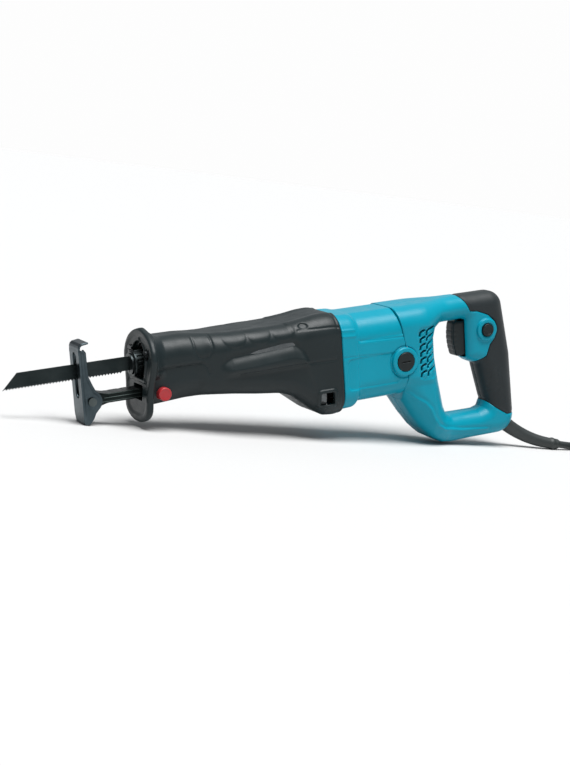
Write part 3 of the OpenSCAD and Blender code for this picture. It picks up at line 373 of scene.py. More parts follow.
hub = loop.mean(0)
rings = []
for k in range(len(loop)):
    a, b = loop[k - 1], loop[(k + 1) % len(loop)]
    out = np.array([(b - a)[1], -(b - a)[0]])
    out /= np.linalg.norm(out)
    out *= 1 if out @ (loop[k] - hub) > 0 else -1
    ring = []
    for w, t in ((-1, 0), (-1, 0.6), (-0.86, 1), (0.86, 1), (1, 0.6), (1, 0)):
        r, z = loop[k] + out * band_t * t
        ring.append((coil_x + w * band_w / 2, coil_y - r, max(z, 0.0001 * (1 + t))))
    rings.append(ring)
coil_strap = loft("coil_strap", rings, closed=True)
fit(coil_strap, strap, "housing", "charcoal_plastic", "coil_tie")

# Moulded two-pin plug, with finger ribs on its waist; its nickelled pins stay as turned
low, high = (np.array(c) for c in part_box("plug_body"))
plug_mid, plug_half = (low + high) / 2, (high - low) / 2
stations = (0, 0.06, 0.30, 0.55, 0.85, 0.97, 1)
widths = (0.30, 0.36, 0.50, 0.86, 1, 0.98, 0.92)
heights = (0.52, 0.60, 0.72, 0.92, 1, 0.97, 0.90)
around = np.linspace(0, 2 * math.pi, 48, endpoint=False)
c, v = np.cos(around), np.sin(around)
rings = []
for t in np.linspace(0, 1, 64):
    wide = np.interp(t, stations, np.multiply(widths, plug_half[1]))
    tall = np.interp(t, stations, np.multiply(heights, plug_half[2]))
    tall -= 0.0007 * float(ease((abs(((t * 9) % 1) - 0.5) - 0.2) / 0.1)) * (0.1 < t < 0.6)
    power = 0.62 if t > 0.4 else 0.85
    rings.append(np.column_stack([
        np.full(48, high[0] - t * (high - low)[0]),
        plug_mid[1] + wide * np.sign(c) * np.abs(c) ** power,
        plug_mid[2] + tall * np.sign(v) * np.abs(v) ** power]))
plug = fit(loft("mains_plug", rings), rubber, "housing", "cord_rubber", "plug_body")

# ---------------------------------------------------------------- insulation cover
# Charcoal boot of glass-filled nylon over the gear casting and the barrel, moulded in one shell
# 3 mm thick and slid on from the front. Finger pads and a thumb rest stand out of both sides.


def grid(low, high, step):
    """Open grid over a box in the tool's frame: (x, y, z, low corner, step), in millimetres."""
    axes = [np.arange(a, b + step, step, dtype=np.float32) for a, b in zip(low, high)]
    return *np.meshgrid(*axes, indexing="ij", sparse=True), np.array(low, float), step


def smax(a, b, k):
    """The larger of two distances, with the corner between them rounded over k."""
    h = np.maximum(k - np.abs(a - b), 0) / k
    return np.maximum(a, b) + h * h * k / 4


def smin(a, b, k):
    return -smax(-a, -b, k)


def rounded(a, b, r):
    """Distance to where both a and b are inside, with edges of radius r."""
    a, b = a + r, b + r
    return np.hypot(np.maximum(a, 0), np.maximum(b, 0)) + np.minimum(np.maximum(a, b), 0) - r


def box_gap(x, z, x0, x1, z0, z1, r=0.0):
    """Distance to a rectangle with rounded corners."""
    return rounded(np.maximum(x0 - x, x - x1), np.maximum(z0 - z, z - z1), r)


def line_gap(x, z, points):
    """Distance to a line through points."""
    best = None
    for (x0, z0), (x1, z1) in zip(points, points[1:]):
        dx, dz = x1 - x0, z1 - z0
        t = np.clip(((x - x0) * dx + (z - z0) * dz) / (dx * dx + dz * dz), 0, 1)
        d = np.hypot(x - x0 - t * dx, z - z0 - t * dz)
        best = d if best is None else np.minimum(best, d)
    return best


def outline_gap(x, z, points):
    """Signed distance to a closed outline, negative inside."""
    points = list(points)
    inside = np.zeros(np.broadcast(x, z).shape, bool)
    for (x0, z0), (x1, z1) in zip(points, points[1:] + points[:1]):
        if z0 != z1:
            inside ^= ((z0 > z) != (z1 > z)) & (x < (x1 - x0) * (z - z0) / (z1 - z0) + x0)
    return np.where(inside, -1, 1) * line_gap(x, z, points + points[:1])


def fair(at_x, rows, column, soften=7):
    """A column of a table of sections at x, eased so that the sections flow into each other."""
    rows = np.asarray(rows, float)
    fine = np.arange(-60, 440, 0.5)
    values = np.interp(fine, rows[:, 0], rows[:, column])
    if soften:
        kernel = np.hanning(int(soften / 0.5) * 2 + 1)
        edge = len(kernel) // 2
        values = np.convolve(np.pad(values, edge, "edge"), kernel / kernel.sum(), "valid")
    return np.interp(at_x, fine, values).astype(np.float32)


def barrel(x, y, z, rows, soften=7):
    """Distance to a body with rounded box sections, from rows of (x, half width, top, foot,
    corner)."""
    hw, high, foot, r = (fair(x, rows, i, soften) for i in (1, 2, 3, 4))
    return rounded(np.abs(y) - hw, np.abs(z - (high + foot) / 2) - (high - foot) / 2, r)


def mould(name, field, low, step):
    """Solid where the field is negative, meshed and set in its place on the bench."""
    cells = openvdb.FloatGrid()
    cells.background = 3.0
    cells.copyFromArray(np.ascontiguousarray(np.clip(field, -3, 3), dtype=np.float32))
    points, _, quads = cells.convertToPolygons(isovalue=0.0, adaptivity=0.0)
    places, faces = at(points * step + low), quads[:, ::-1].astype(np.int32)
    mesh = bpy.data.meshes.new(name)
    mesh.vertices.add(len(places))
    mesh.vertices.foreach_set("co", places.astype(np.float32).ravel())
    mesh.loops.add(faces.size)
    mesh.loops.foreach_set("vertex_index", faces.ravel())
    mesh.polygons.add(len(faces))
    mesh.polygons.foreach_set("loop_start", np.arange(0, faces.size, 4, dtype=np.int32))
    mesh.update(calc_edges=True)
    a, b, c = (places[faces[:, i]] for i in (0, 1, 2))
    if np.einsum("ij,ij->i", a - places.mean(0), np.cross(b - a, c - a)).sum() < 0:
        mesh.flip_normals()
    mesh.validate()
    mesh.shade_smooth()
    piece = bpy.data.objects.new(name, mesh)
    bpy.context.scene.collection.objects.link(piece)
    return piece


def plastic(name, dark, light, rough, grain, depth, worn, worn_share=0.35):
    """Moulded plastic: two close tones, spark-eroded grain, and edges polished by hands."""
    made, tree, shader, place = finish_of(name)
    cloud = mottle(tree, place, 22, 5)
    pits = mottle(tree, place, grain, 3, 0.6)
    swirl = mottle(tree, place, 90, 4)
    colour = tones(tree, cloud, [(0.3, dark), (0.7, light)])
    tree.links.new(rub(tree, colour, worn, worn_share), shader.inputs["Base Color"])
    tree.links.new(spread(tree, swirl, rough - 0.05, rough + 0.06), shader.inputs["Roughness"])
    relief(tree, shader, (pits, depth), (swirl, depth * 0.5))
    return made, shader


charcoal, shader = plastic("charcoal_nylon", (0.0070, 0.0130, 0.0145), (0.0100, 0.0175, 0.0195),
                           0.42, 1500, 0.00005, (0.04, 0.055, 0.065))
shader.inputs["Specular IOR Level"].default_value = 0.32
cover_wall, cover_end = 3, 198
cover_rows = [
    (5, 28, 24, -40, 20), (40, 27, 24, -38, 20), (56, 28, 22.5, -38, 20),
    (70, 33, 21, -38.5, 19), (88, 35, 20.5, -40, 17), (110, 36.3, 20.5, -43, 16),
    (135, 36.5, 20.5, -46, 16), (148, 36.8, 21, -51, 17), (163, 37.8, 22.5, -63, 19),
    (177, 38.3, 24.6, -74, 20), (190, 38.3, 25.2, -75.5, 20), (cover_end, 38, 23.5, -74.5, 20)
]
widest_right = 39.9
guard_t, lean, axle_z = 6.4, 0.11, -3
x, y, z, low, step = grid((0, -44, -80), (201, 44, 31), 0.75)
form = barrel(x, y, z, cover_rows)
side = ease((np.abs(y) - 13) / 9)
left = (y < 0).astype(np.float32)

# pads under the fingers, and the thumb rest below them
pad_r = 12.5
pads = sum(np.sqrt(np.clip(1 - (line_gap(x, z, [(mid, 19), (mid, 60)]) / pad_r) ** 2, 0, 1))
           for mid in (88, 113, 138))
rest_top = np.interp(x, (70, 84, 146, 152), (-9, -2.5, 2, 0)).astype(np.float32)
rest_along = ease((x - 69) / 12) * ease((158 - 0.5 * (z + 6) - x) / 7)
rest = (3.0 + 1.5 * left) * np.clip((rest_top - z) / 12, 0, 1) * (1 - ease((-13.5 - z) / 9))
rest = rest - 1.4 * groove(z - rest_top, 4)
pads = pads * ease((24 - z) / 12)
lift = 1.1 * pads + rest * rest_along
lift = lift - 0.7 * groove(line_gap(x, z, [(90, -19.5), (150, -18), (190, -18.5)]), 1.0)
# swept step along the barrel, the tongue pressed into its shoulder, the rear collar with a
# sunk thumbprint, and the raised rim round the latch window
step_line = line_gap(x, z, [(9, -3), (50, -3), (56, -4.5), (60, -9), (61, -14)])
tongue = [(49, 30), (49, 8), (52, 2), (57, 0), (62, 2), (66, 8), (66, 30)]
lift -= 0.6 * groove(step_line, 1.1) + 0.8 * groove(line_gap(x, z, tongue), 1.0)
collar = ease((x - 157 + 0.35 * (z + 20)) / 4)
lift += 0.8 * collar - 0.6 * groove(line_gap(x, z, [(153, 14.5), (190, 13.5), (198, 12)]), 0.8)
lift -= 1.3 * ease(0.5 - (np.hypot((x - 160) / 4.5, (z - 17.5) / 2.4) - 1) * 1.6)
lift -= 0.5 * groove(x - 194.5, 0.9)
window = box_gap(x, z, 171.5, 186.5, -62.5, -49.5, 2)
window_depth = 20
lift = lift + 1.4 * ease(0.5 - (window - 3.0) / 1.6) * left
skin = form - lift * side
skin = skin - 0.5 * groove(line_gap(x, z, [(9, -38), (16, -37), (20, -34), (24, -33)]), 0.9) * side
# shoulder that flows forward into the guard, and the undercut below the step
shoulder = np.clip((20 - x) / 12, 0, 1) ** 1.6 * ease((z + 15) / 8)
skin = skin - 7.5 * shoulder + 1.9 * ease((-3.2 - z) / 1.0) * ease((58 - x) / 8) * side
ends = np.maximum(guard_t - 0.6 + lean * (z - axle_z) - x, x - cover_end)
field = smax(smax(skin, ends, 1.6), -(form + cover_wall), 0.5)
field = np.maximum(field, y - widest_right)
field = np.maximum(field, -np.maximum(window + 0.4, y + window_depth))
cover = mould("insulation_boot", field, low, step)
fit(cover, charcoal, "housing", "charcoal_plastic", "insulation_cover")

# ---------------------------------------------------------------- hand guard
# Thick rounded flange of the same nylon in front of the barrel. Two screws hold it on the
# gear casting; the arch lets the blade clamp through and the slot below takes the shoe's arm.

x, y, z, low, step = grid((-9, -42, -59), (13, 42, 36), 0.45)
guard_foot, guard_top = -56, 33
guard_rows = [(guard_foot, 16), (-54, 21), (-50, 26.5), (-45, 30), (-41, 30.6), (-33, 30.2), (-24, 31),
              (-14, 33.5), (-4, 37), (6, 38.6), (14, 36), (22, 30), (28, 22), (31.5, 14), (guard_top, 8)]
half = fair(z, guard_rows, 1, 4)
outline = smax(np.abs(y) - half, np.maximum(z - guard_top, guard_foot - z), 14)
leaned = x - lean * (z - axle_z)
thick = np.maximum(-leaned, leaned - guard_t)
field = rounded(outline, thick, 2.9)
# dished face, with a rib that frames the arch
dish = ease((-outline - 5) / 5)
arch_half = fair(z, [(-14, 17.2), (4, 17.2), (12, 15), (18, 9.5), (21, 0), (40, -20)], 1, 2)
arch = smax(np.abs(y) - arch_half, -14 - z, 3)
front = ease((3.2 - leaned) / 2)
field = field + front * (1.3 * dish * ease((arch - 2.4) / 1.6))
crease_line = [(-19, -13), (-26, -22), (-27.5, -32)]
crease = np.minimum(line_gap(y, z, crease_line), line_gap(-y, z, crease_line))
field = field + 0.9 * front * groove(crease, 0.9)
# openings for the clamp and for the arm, and the two sunk screw holes
field = smax(field, -(np.hypot(y, z - 4) - 17), 0.8)
field = smax(field, -np.maximum(np.abs(y) - 17, np.abs(z + 5) - 9), 0.8)
field = smax(field, -box_gap(y, z, -11, 11, -34.5, -20.5, 1.5), 0.8)
for screw_y in (-20, 20):
    field = smax(field, -np.maximum(np.hypot(y - screw_y, z - 10) - 5.0, x - 3.5), 0.5)
    field = np.maximum(field, -(np.hypot(y - screw_y, z - 10) - 2.6))
guard = mould("hand_guard_flange", field, low, step)
fit(guard, charcoal, "housing", "charcoal_plastic", "hand_guard")

# ---------------------------------------------------------------- motor housing
# Teal shell of the motor, moulded in filled nylon and clamped between the gear casting and the
# handle. A raised neck round the brushes carries a screw cap on each side.

teal, shader = plastic("teal_nylon", (0.000, 0.252, 0.352), (0.000, 0.278, 0.386),
                       0.33, 1700, 0.00003, (0.06, 0.40, 0.50), 0.30)
shader.inputs["Specular IOR Level"].default_value = 0.22
shell_wall, seam_gap = 2.4, 0.15
seam = [(259, 30), (264, 19), (265.5, 8), (268, -6), (270.5, -21), (271.5, -49), (269.5, -58),
        (272, -75)]
seam_x, seam_z = np.array(seam)[::-1].T
brush_x, brush_z = 268, -32
motor_rows = [(190, 38.3, 22, -72, 19), (213, 37.2, 21.2, -71.5, 20), (217, 36.4, 20.6, -68, 23),
              (300, 36, 20.5, -67.5, 23)]
x, y, z, low, step = grid((196, -43, -76), (285, 43, 26), 0.7)
form = barrel(x, y, z, motor_rows, 5)
side = ease((np.abs(y) - 16) / 8)
behind_seam = x - np.interp(z, seam_z, seam_x).astype(np.float32)
# upper facet with its edge line, moulding line, front band with two ledges, and sunk name panel
facet = ease((z + 5.5) / 1.2) * ease((x - 216) / 3)
lift = -0.9 * facet - 0.8 * groove(line_gap(x, z, [(219, -5.2), (279, -7), (289, -16)]), 0.9)
lift -= 0.5 * groove(line_gap(x, z, [(199, -18.5), (262, -22)]), 0.7)
lift += 0.9 * ease((216 - x) / 1.5)
for ledge_z in (8.5, 2.5):
    lift += 0.6 * groove(line_gap(x, z, [(199, ledge_z), (213, ledge_z - 1)]), 1.0)
panel = box_gap(x, z, 203, 262, -52, -21, 5)
lift -= 0.8 * ease(0.5 - panel / 1.2)
neck = np.hypot(x - brush_x, z - brush_z)
lift -= 0.9 * ease(0.5 - (neck - 16.5) / 1.0)
skin = form - lift * side
boss = rounded(neck - 14.4, np.abs(y) - 38.2, 1.6)
boss = np.maximum(boss, 30 - np.abs(y))
field = np.maximum(skin, np.maximum(cover_end + 0.3 - x, behind_seam + seam_gap))
field = smax(field, -(form + shell_wall), 0.5)
field = smin(field, boss, 0.8)
field = smax(field, -(neck - 9.7), 0.4)
fit(mould("motor_shell", field, low, step), teal, "housing", "teal_plastic", "motor_housing")

# Brush caps: black discs with a coin slot, flush in the teal bosses
cap_finish, shader = plastic("cap_nylon", (0.006, 0.010, 0.011), (0.009, 0.014, 0.015),
                             0.42, 1500, 0.00004, (0.04, 0.045, 0.05))
shader.inputs["Specular IOR Level"].default_value = 0.32
x, y, z, low, step = grid((257, -42, -43), (279, 42, -21), 0.35)
disc = np.hypot(x - brush_x, z - brush_z)
field = rounded(disc - 9.5, np.maximum(np.abs(y) - 38.9, 35 - np.abs(y)), 1.0)
coin_slot = np.maximum(np.abs(x - brush_x) - 4.6, np.abs(z - brush_z) - 0.8)
field = smax(field, -np.maximum(coin_slot, 37.6 - np.abs(y)), 0.4)
caps = mould("brush_screw_caps", field, low, step)
fit(caps, cap_finish, "housing", "charcoal_plastic", "brush_caps")

# ---------------------------------------------------------------- loop handle and soft grip
# Two teal halves screwed together on the middle plane, hollow for the switch and the lead, with a
# black thermoplastic-rubber skin moulded into their grip.


def arc(x0, z0, r, a, b, n=16):
    """Points on a circle round (x0, z0), from angle a to angle b."""
    turns = [math.radians(a + (b - a) * i / n) for i in range(n + 1)]
    return [(x0 + r * math.cos(t), z0 + r * math.sin(t)) for t in turns]


handle_edge = [
    (225, 21), (382, 21), *arc(384, 5, 16, 88, 4), (407, -46), *arc(389, -109.8, 20, 3, -90),
    (330, -129.8), (319, -127.4), (307, -120.5), (295, -109), (284.5, -95), (276, -81.5),
    (268, -68.5), (225, -68.5)
]
loop_edge = [
    (312, -16), (315, -8), (322, -4), (352, -4), (352, -44), (357, -48), (367, -53), (372, -75),
    (376, -92), (373, -99), (366, -101), (332, -101), (326, -97), (322, -88), (316, -60), (312, -35)
]
grip_edge = [
    (337, 34), (352, 15), (358, 3), (382, -7), (387, -17), (381, -27), (376, -33), (372, -46),
    (364, -50), (340, -62), (340, -84), (358, -88), (376, -93), (384, -101), (396, -109),
    (425, -112), (425, 34)
]
half_rows = [(254, 36.2), (298, 35.6), (312, 28), (327, 19.5), (345, 17)]
skin_t, handle_wall, half_gap = 2.5, 5.6, 0.06
lock_x, lock_z = 375, -17
x, y, z, low, step = grid((255, -40, -133), (413, 40, 25), 0.75)
flat_x, flat_z = x[:, :, 0][:, :, None], z
edge = outline_gap(flat_x, flat_z, handle_edge).astype(np.float32)
hole = outline_gap(flat_x, flat_z, loop_edge).astype(np.float32)
ring_2d = smax(edge, -hole, 5)
half = np.minimum(
    fair(x, half_rows, 1, 10),
    fair(z, [(-130, 17), (-96, 19), (-72, 27), (-50, 36.5), (30, 36.5)], 1, 12))
bend = np.minimum(
    fair(x, [(255, 22), (290, 21), (318, 15.5), (340, 13.5), (362, 14.5)], 1, 10),
    fair(z, [(-130, 15), (-96, 16), (-72, 21), (0, 20), (30, 20)], 1, 12))
form = rounded(ring_2d, np.abs(y) - half, bend)
side = ease((np.abs(y) - 6) / 6)

# raised line that sweeps from the seam round under the loop, with a hollow above it
sweep_line = [(268, -61), (281, -72), (291, -79), (297, -86), (301, -97), (307, -105), (316, -111),
              (340, -117), (372, -121)]
hollow_line = [(p + 3.0, q + 1.6) for p, q in sweep_line]
lift = 0.8 * groove(line_gap(flat_x, flat_z, sweep_line), 1.3)
lift = lift - 0.5 * groove(line_gap(flat_x, flat_z, hollow_line), 1.6)
# sunk field round the louvres
field_gap = box_gap(flat_x, flat_z, 284, 308, -54, -1, 7)
lift = lift - 0.8 * ease(0.5 - field_gap / 1.4)
# teal boss that carries the lock button
boss_edge = [(347, 4), (365, 3.5), (378, -2), (386, -10), (388, -18), (385, -27), (379, -33),
             (374, -45), (352, -45)]
boss_gap = outline_gap(flat_x, flat_z, boss_edge)
grip_gap = outline_gap(flat_x, flat_z, grip_edge).astype(np.float32)
skin = form - lift * side
shell = skin + (skin_t + 0.15) * ease(0.5 - grip_gap / 0.5) * ease(0.5 + boss_gap / 0.5)
shell = smax(shell, -(form + handle_wall), 0.5)
button = np.hypot(flat_x - lock_x, flat_z - lock_z)
ring = rounded(button - 11.5, np.maximum(y + 12, -19.6 - y), 1.2)
shell = smin(shell, ring, 1.0)
in_front_of_seam = np.interp(z, seam_z, seam_x).astype(np.float32) - x
shell = np.maximum(shell, in_front_of_seam + seam_gap)
shell = smax(shell, -(np.hypot(flat_x - brush_x, flat_z - brush_z) - 14.7), 0.5)
# air louvres: seven rows of hooked slots, short ones in front of longer ones
slot_r, louvre_pitch = 1.15, 6.9
for row in range(7):
    drop, tail = louvre_pitch * row, 1.6 if row % 2 else 0.2
    for hook in (
        [(286.6 + 0.6 * (row % 2), -9.0), (287.4, -6.0), (290.2, -4.4), (292.6, -4.0)],
        [(294.6, -9.2 + tail), (295.2, -5.6), (298.0, -3.8), (306.0, -2.6)]
    ):
        slot = line_gap(flat_x, flat_z, [(p, q - drop) for p, q in hook]) - slot_r
        shell = smax(shell, -np.maximum(slot, 22 - np.abs(y)), 0.4)
# trigger mouth, lock bore, screw wells in the right half, and lead exit
shell = smax(shell, -np.maximum(box_gap(flat_x, flat_z, 345, 366, -43.5, -4.5), np.abs(y) - 8.6), 0.6)
shell = np.maximum(shell, -np.maximum(button - 6.9, y + 8))
for sx, sz in ((300, 10), (300, -56), (340, 11), (389, 7), (393, -86), (330, -115)):
    well = np.hypot(flat_x - sx, flat_z - sz)
    wall_y = 0.55 * fair(sx, half_rows, 1, 10)
    shell = smax(shell, -np.maximum(well - 4.6, wall_y - y), 0.5)
exit_gap = np.hypot(y, (z + 108) * 0.94 + (x - 400) * 0.34)
lead_bore = np.maximum(exit_gap - 8.3, 380 - x)
shell = np.maximum(shell, -lead_bore)
left_cut, right_cut = y + half_gap, half_gap - y
for name, cut, node in (
    ("handle_half_left", left_cut, "handle_left"), ("handle_half_right", right_cut, "handle_right")
):
    fit(mould(name, np.maximum(shell, cut), low, step), teal, "housing", "teal_plastic", node)

# Soft skin, with a rolled edge and two columns of dots under the palm
grip, shader = plastic("grip_rubber", (0.0065, 0.0115, 0.0135), (0.0095, 0.016, 0.0185),
                       0.54, 1100, 0.00010, (0.04, 0.05, 0.06))
shader.inputs["Specular IOR Level"].default_value = 0.36
shader.inputs["Sheen Weight"].default_value = 0.10
dots = sum(groove(np.hypot(flat_x - dx, flat_z - dz), 2.0)
           for dx in (378, 386.5) for dz in (-60, -67, -74, -81))
pad = skin + 0.4 * dots * side + 0.55 * groove(grip_gap + 1.6, 0.8)
pad = smax(pad, grip_gap + 0.12, 1.0)
pad = smax(pad, 0.35 - boss_gap, 1.0)
pad = smax(pad, -(skin + skin_t), 0.3)
pad = smax(pad, 12.2 - button, 0.5)
pad = np.maximum(pad, -lead_bore)
for sx, sz in ((389, 7), (393, -86)):
    pad = smax(pad, -np.maximum(np.hypot(flat_x - sx, flat_z - sz) - 5.0, -y), 0.5)
for name, cut, node in (
    ("grip_skin_left", left_cut, "grip_left"), ("grip_skin_right", right_cut, "grip_right")
):
    fit(mould(name, np.maximum(pad, cut), low, step), grip, "housing", "soft_grip", node)

# ---------------------------------------------------------------- trigger and lock button
# Black finger trigger that slides straight back into the handle, and the push button through the
# left half that locks it on.

x, y, z, low, step = grid((336, -11, -45), (365, 11, -3), 0.4)
bow = 340.6 + 3.2 * ((z + 22) / 19) ** 2
form = rounded(np.maximum(bow - x, x - 362), np.maximum(-42 - z, z + 6), 2.2)
field = rounded(form, np.abs(y) - 8, 2.6)
for rib_z in np.arange(-36, -10, 5.2):
    field = field + 0.35 * groove(z - rib_z, 0.8) * ease((346 - x) / 3)
field = field + 0.4 * groove(np.abs(y) - 5.2, 0.6) * ease((344.5 - x) / 3)
trigger = mould("finger_trigger", field, low, step)
fit(trigger, cap_finish, "trigger", "charcoal_plastic", "trigger")

x, y, z, low, step = grid((366, -23, -26), (384, -10, -8), 0.3)
disc = np.hypot(x - lock_x, z - lock_z)
field = rounded(disc - 6.5, np.maximum(-21.5 - y, y + 12), 1.0)
field = field + 0.5 * ease(0.5 - (disc - 4.3) / 0.6) * ease((-19 - y) / 1.5)
lock = mould("lock_on_button", field, low, step)
fit(lock, cap_finish, "lock_button", "charcoal_plastic", "lock_button")

# ---------------------------------------------------------------- shoe and its arm
# The shoe is pressed from 2 mm steel plate and zinc plated: a slotted front, a lip bent back at
# the top and two ears that carry the pivot. The arm behind it slides out of the gear casting, and
# a red nylon button in the left of the guard's foot lets it go.


def metal(name, dark, light, rough, brush=(1, 1, 1), fine=600, depth=0.00003, worn=None, worn_share=0.6):
    """Bare or plated metal: two tones, drawn out along `brush`, with handling marks."""
    made, tree, shader, place = finish_of(name)
    shader.inputs["Metallic"].default_value = 1.0
    streaks = mottle(tree, place, fine, 5, 0.6, brush)
    cloud = mottle(tree, place, 45, 5)
    colour = tones(tree, cloud, [(0.32, dark), (0.68, light)])
    if worn:
        colour = rub(tree, colour, worn, worn_share)
    tree.links.new(colour, shader.inputs["Base Color"])
    tree.links.new(spread(tree, streaks, rough - 0.08, rough + 0.10), shader.inputs["Roughness"])
    relief(tree, shader, (streaks, depth), (cloud, depth * 2))
    return made


zinc = metal("zinc_plate", (0.046, 0.064, 0.073), (0.082, 0.106, 0.118), 0.34, (1, 1, 0.15), 900,
             0.00004, (0.30, 0.35, 0.37), 0.5)
pivot_x, pivot_z = -52, -27.5
shoe_hw, ear_t = 13.5, 2
x, y, z, low, step = grid((-65, -16, -52), (-38, 16, 33), 0.4)
front = np.maximum(np.maximum(-61 - x, x + 59), np.maximum(z - 21, -46.5 - z))
bend_mid = line_gap(x, z, [(-60, 18), (-60, 23.5), (-59.2, 25.6), (-57.4, 26.8), (-51.6, 27.6)]) - 1.0
plate = smin(front, bend_mid, 0.6)
foot = smax(np.hypot(x + 58, z + 46.5) - 3, x + 57.2, 0.6)
plate = smin(plate, foot, 0.5)
plate = rounded(plate, np.abs(y) - shoe_hw + 0.05 * np.maximum(-38 - z, 0) ** 1.8, 0.8)
plate = smax(plate, -(line_gap(y, z, [(0, -20), (0, 14)]) - 4.6), 0.6)
ear_edge = [
    (-60.2, 20), (-56, 22.5), (-53.6, 19), (-53.4, 4), (-53, -4), (-50, -12),
    *arc(pivot_x, pivot_z, 10.5, 62, -40, 14), (-48.5, -39), (-51, -44), (-55, -49), (-60.2, -49)
]
ear_gap = outline_gap(x, z, ear_edge)
ear = rounded(ear_gap, np.maximum(np.abs(y) - shoe_hw, shoe_hw - ear_t - np.abs(y)), 0.6)
hem = np.abs(ear_gap + 1.4) - 0.5
ear = ear + 0.35 * groove(hem, 0.7) * ease((np.abs(y) - 12.9) / 0.4)
field = smin(plate, ear, 1.6)
bore = np.hypot(x - pivot_x, z - pivot_z)
field = smax(field, -np.maximum(bore - 2.6, 9 - np.abs(y)), 0.2)
fit(mould("slotted_shoe", field, low, step), zinc, "shoe", "shoe_steel", "shoe_plate")

# Arm: flared at its nose, sunk along its sides, with a rack of notches along its top
arm_steel = metal("arm_plate", (0.012, 0.016, 0.015), (0.022, 0.028, 0.027), 0.34, (0.12, 1, 1), 900,
                  0.00004, (0.10, 0.12, 0.12), 0.5)
x, y, z, low, step = grid((-56, -11, -37), (64, 11, -18), 0.45)
flare = 2.8 * ease((-33 - x) / 15)
form = rounded(np.maximum(pivot_x - x, x - 62), np.abs(z - pivot_z) - 4.5 - flare, 2.0)
field = rounded(form, np.abs(y) - 9, 1.1)
inset = box_gap(x, z, -42, 58, -30.4, -24.6, 1.6)
field = field + 0.9 * ease(0.5 - inset / 0.8) * ease((np.abs(y) - 7.6) / 0.6)
rib_line = line_gap(x, z, [(-38, pivot_z), (56, pivot_z)])
field = field - 0.9 * groove(rib_line, 0.8) * ease((np.abs(y) - 7.0) / 0.6)
for notch_x in range(-30, 60, 12):
    field = field + 0.5 * groove(np.hypot(x - notch_x, z + 23) * 0.7, 1.0) * ease((z + 23.6) / 0.5)
field = smax(field, -(np.hypot(x - pivot_x, z - pivot_z) - 2.55), 0.2)
fit(mould("shoe_guide_arm", field, low, step), arm_steel, "arm", "shoe_steel", "shoe_arm")

pin_steel = metal("pin_steel", (0.07, 0.085, 0.085), (0.12, 0.14, 0.14), 0.30, fine=1200)
button_x, button_z = 14, -27.5
red, _ = plastic("red_nylon", (0.34, 0.018, 0.022), (0.40, 0.024, 0.030), 0.36, 1600, 0.00003,
                 (0.50, 0.06, 0.06))
x, y, z, low, step = grid((6, -34, -36), (22, -11, -19), 0.35)
disc = np.hypot(x - button_x, z - button_z)
field = rounded(disc - 6.4, np.maximum(-32 - y, y + 13.1), 1.0)
field = field + 0.3 * ease(0.5 - (disc - 4.2) / 1.6) * ease((-29 - y) / 2)
release = mould("release_button", field, low, step)
fit(release, red, "shoe_button", "red_plastic", "shoe_release_button")

# ---------------------------------------------------------------- blade and clamp
# Bi-metal blade, black oxide over ground steel with bare teeth, held in a keyless clamp: a
# hardened body on the plunger with a knurled sleeve that turns to let the blade go.

blade_steel = metal("blade_oxide", (0.020, 0.027, 0.028), (0.034, 0.043, 0.044), 0.34, (0.05, 1, 1),
                    900, 0.00002)
sleeve_steel = metal("sleeve_oxide", (0.020, 0.025, 0.026), (0.045, 0.053, 0.055), 0.36, fine=900)
x, y, z, low, step = grid((-8, -14, -14), (16, 14, 14), 0.35)
spoke = np.hypot(y, z)
bearing = np.arctan2(z, y)
knurl = 0.5 + 0.5 * np.cos(bearing * 18)
body_x, body_r = (-6, -5, 8.5, 10, 10.4, 13.7), (11.6, 12.4, 12.4, 11.9, 11.3, 11.2)
body_r = np.interp(x, body_x, body_r).astype(np.float32)
body_r = body_r - 0.7 * ease((knurl - 0.55) / 0.3) * ease((x + 3.2) / 1.0) * ease((7.6 - x) / 1.0)
field = smax(spoke - body_r, np.maximum(-6 - x, x - 13.7), 0.8)
field = smax(field, 9.15 - spoke, 0.3)
sleeve = mould("clamp_turning_sleeve", field, low, step)
fit(sleeve, sleeve_steel, "sleeve", "machined_steel", "clamp_sleeve")

# ---------------------------------------------------------------- works inside
# Motor, gears, crank, switch and screws keep their turned and stamped shapes.

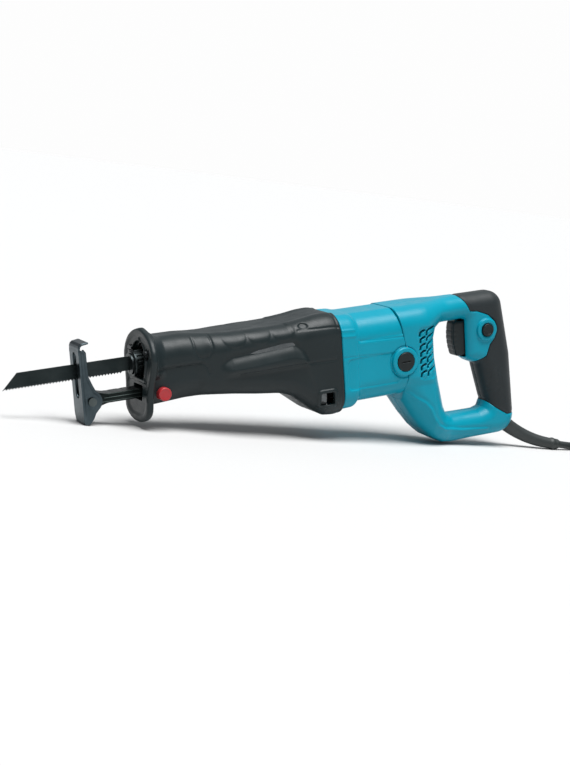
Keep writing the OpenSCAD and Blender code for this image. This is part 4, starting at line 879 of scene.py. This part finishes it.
ground = metal("ground_steel", (0.46, 0.46, 0.47), (0.60, 0.60, 0.61), 0.24, (0.2, 1, 1), 900)
gear_steel = metal("gear_oxide", (0.10, 0.10, 0.11), (0.20, 0.20, 0.21), 0.34, fine=700)
# The gear casting has a dark tone so that what shows through the latch window in the boot reads dark:
# this dark tone is painted shade for the inside of the boot.
cast = metal("die_casting_painted_shade", (0.11, 0.12, 0.125), (0.17, 0.18, 0.185), 0.50, fine=500, depth=0.00010)
laminated = metal("core_laminations", (0.16, 0.16, 0.17), (0.26, 0.26, 0.27), 0.42, (14, 1, 1), 300,
                  0.0001)
enamel = metal("enamelled_copper", (0.42, 0.13, 0.04), (0.62, 0.25, 0.09), 0.30, (1, 12, 1), 300,
               0.00015)
bronze = metal("bush_bronze", (0.48, 0.30, 0.12), (0.64, 0.44, 0.20), 0.32, fine=800)
nickel = metal("nickel_plate", (0.56, 0.54, 0.50), (0.70, 0.68, 0.64), 0.20, (1, 0.2, 1), 1200)
plated = metal("screw_oxide", (0.050, 0.054, 0.058), (0.085, 0.090, 0.095), 0.32, fine=1000)
graphite, _ = plastic("brush_carbon", (0.020, 0.020, 0.021), (0.034, 0.034, 0.035), 0.60, 900, 0.0001,
                      (0.06, 0.06, 0.06))
nylon, _ = plastic("inner_nylon", (0.040, 0.041, 0.044), (0.058, 0.060, 0.064), 0.50, 1200, 0.00006,
                   (0.10, 0.10, 0.11))

for names, finish in (
    ("saw_blade", blade_steel), ("shoe_pin", pin_steel), ("clamp_body clamp_pin", sleeve_steel),
    ("gear_housing bearing_box noise_capacitor", cast),
    ("clamp_spring plunger_bar crank_roller crank_disc gear_shaft gear_bearing", ground),
    ("armature_shaft motor_bearings", ground), ("scotch_yoke bevel_gear drive_pinion", gear_steel),
    ("armature_core stator_core", laminated), ("plug_pins", nickel),
    ("armature_windings field_windings commutator", enamel), ("plunger_bushes brush_holders", bronze),
    ("guard_screws housing_screws handle_screws cord_clamp_screws", plated),
    ("carbon_brushes", graphite), ("cooling_fan baffle_plate switch_body cord_clamp", nylon),
    ("plunger_seal", rubber)
):
    for name in names.split():
        held = nodes[name].data.materials
        held.clear()
        held.append(finish)
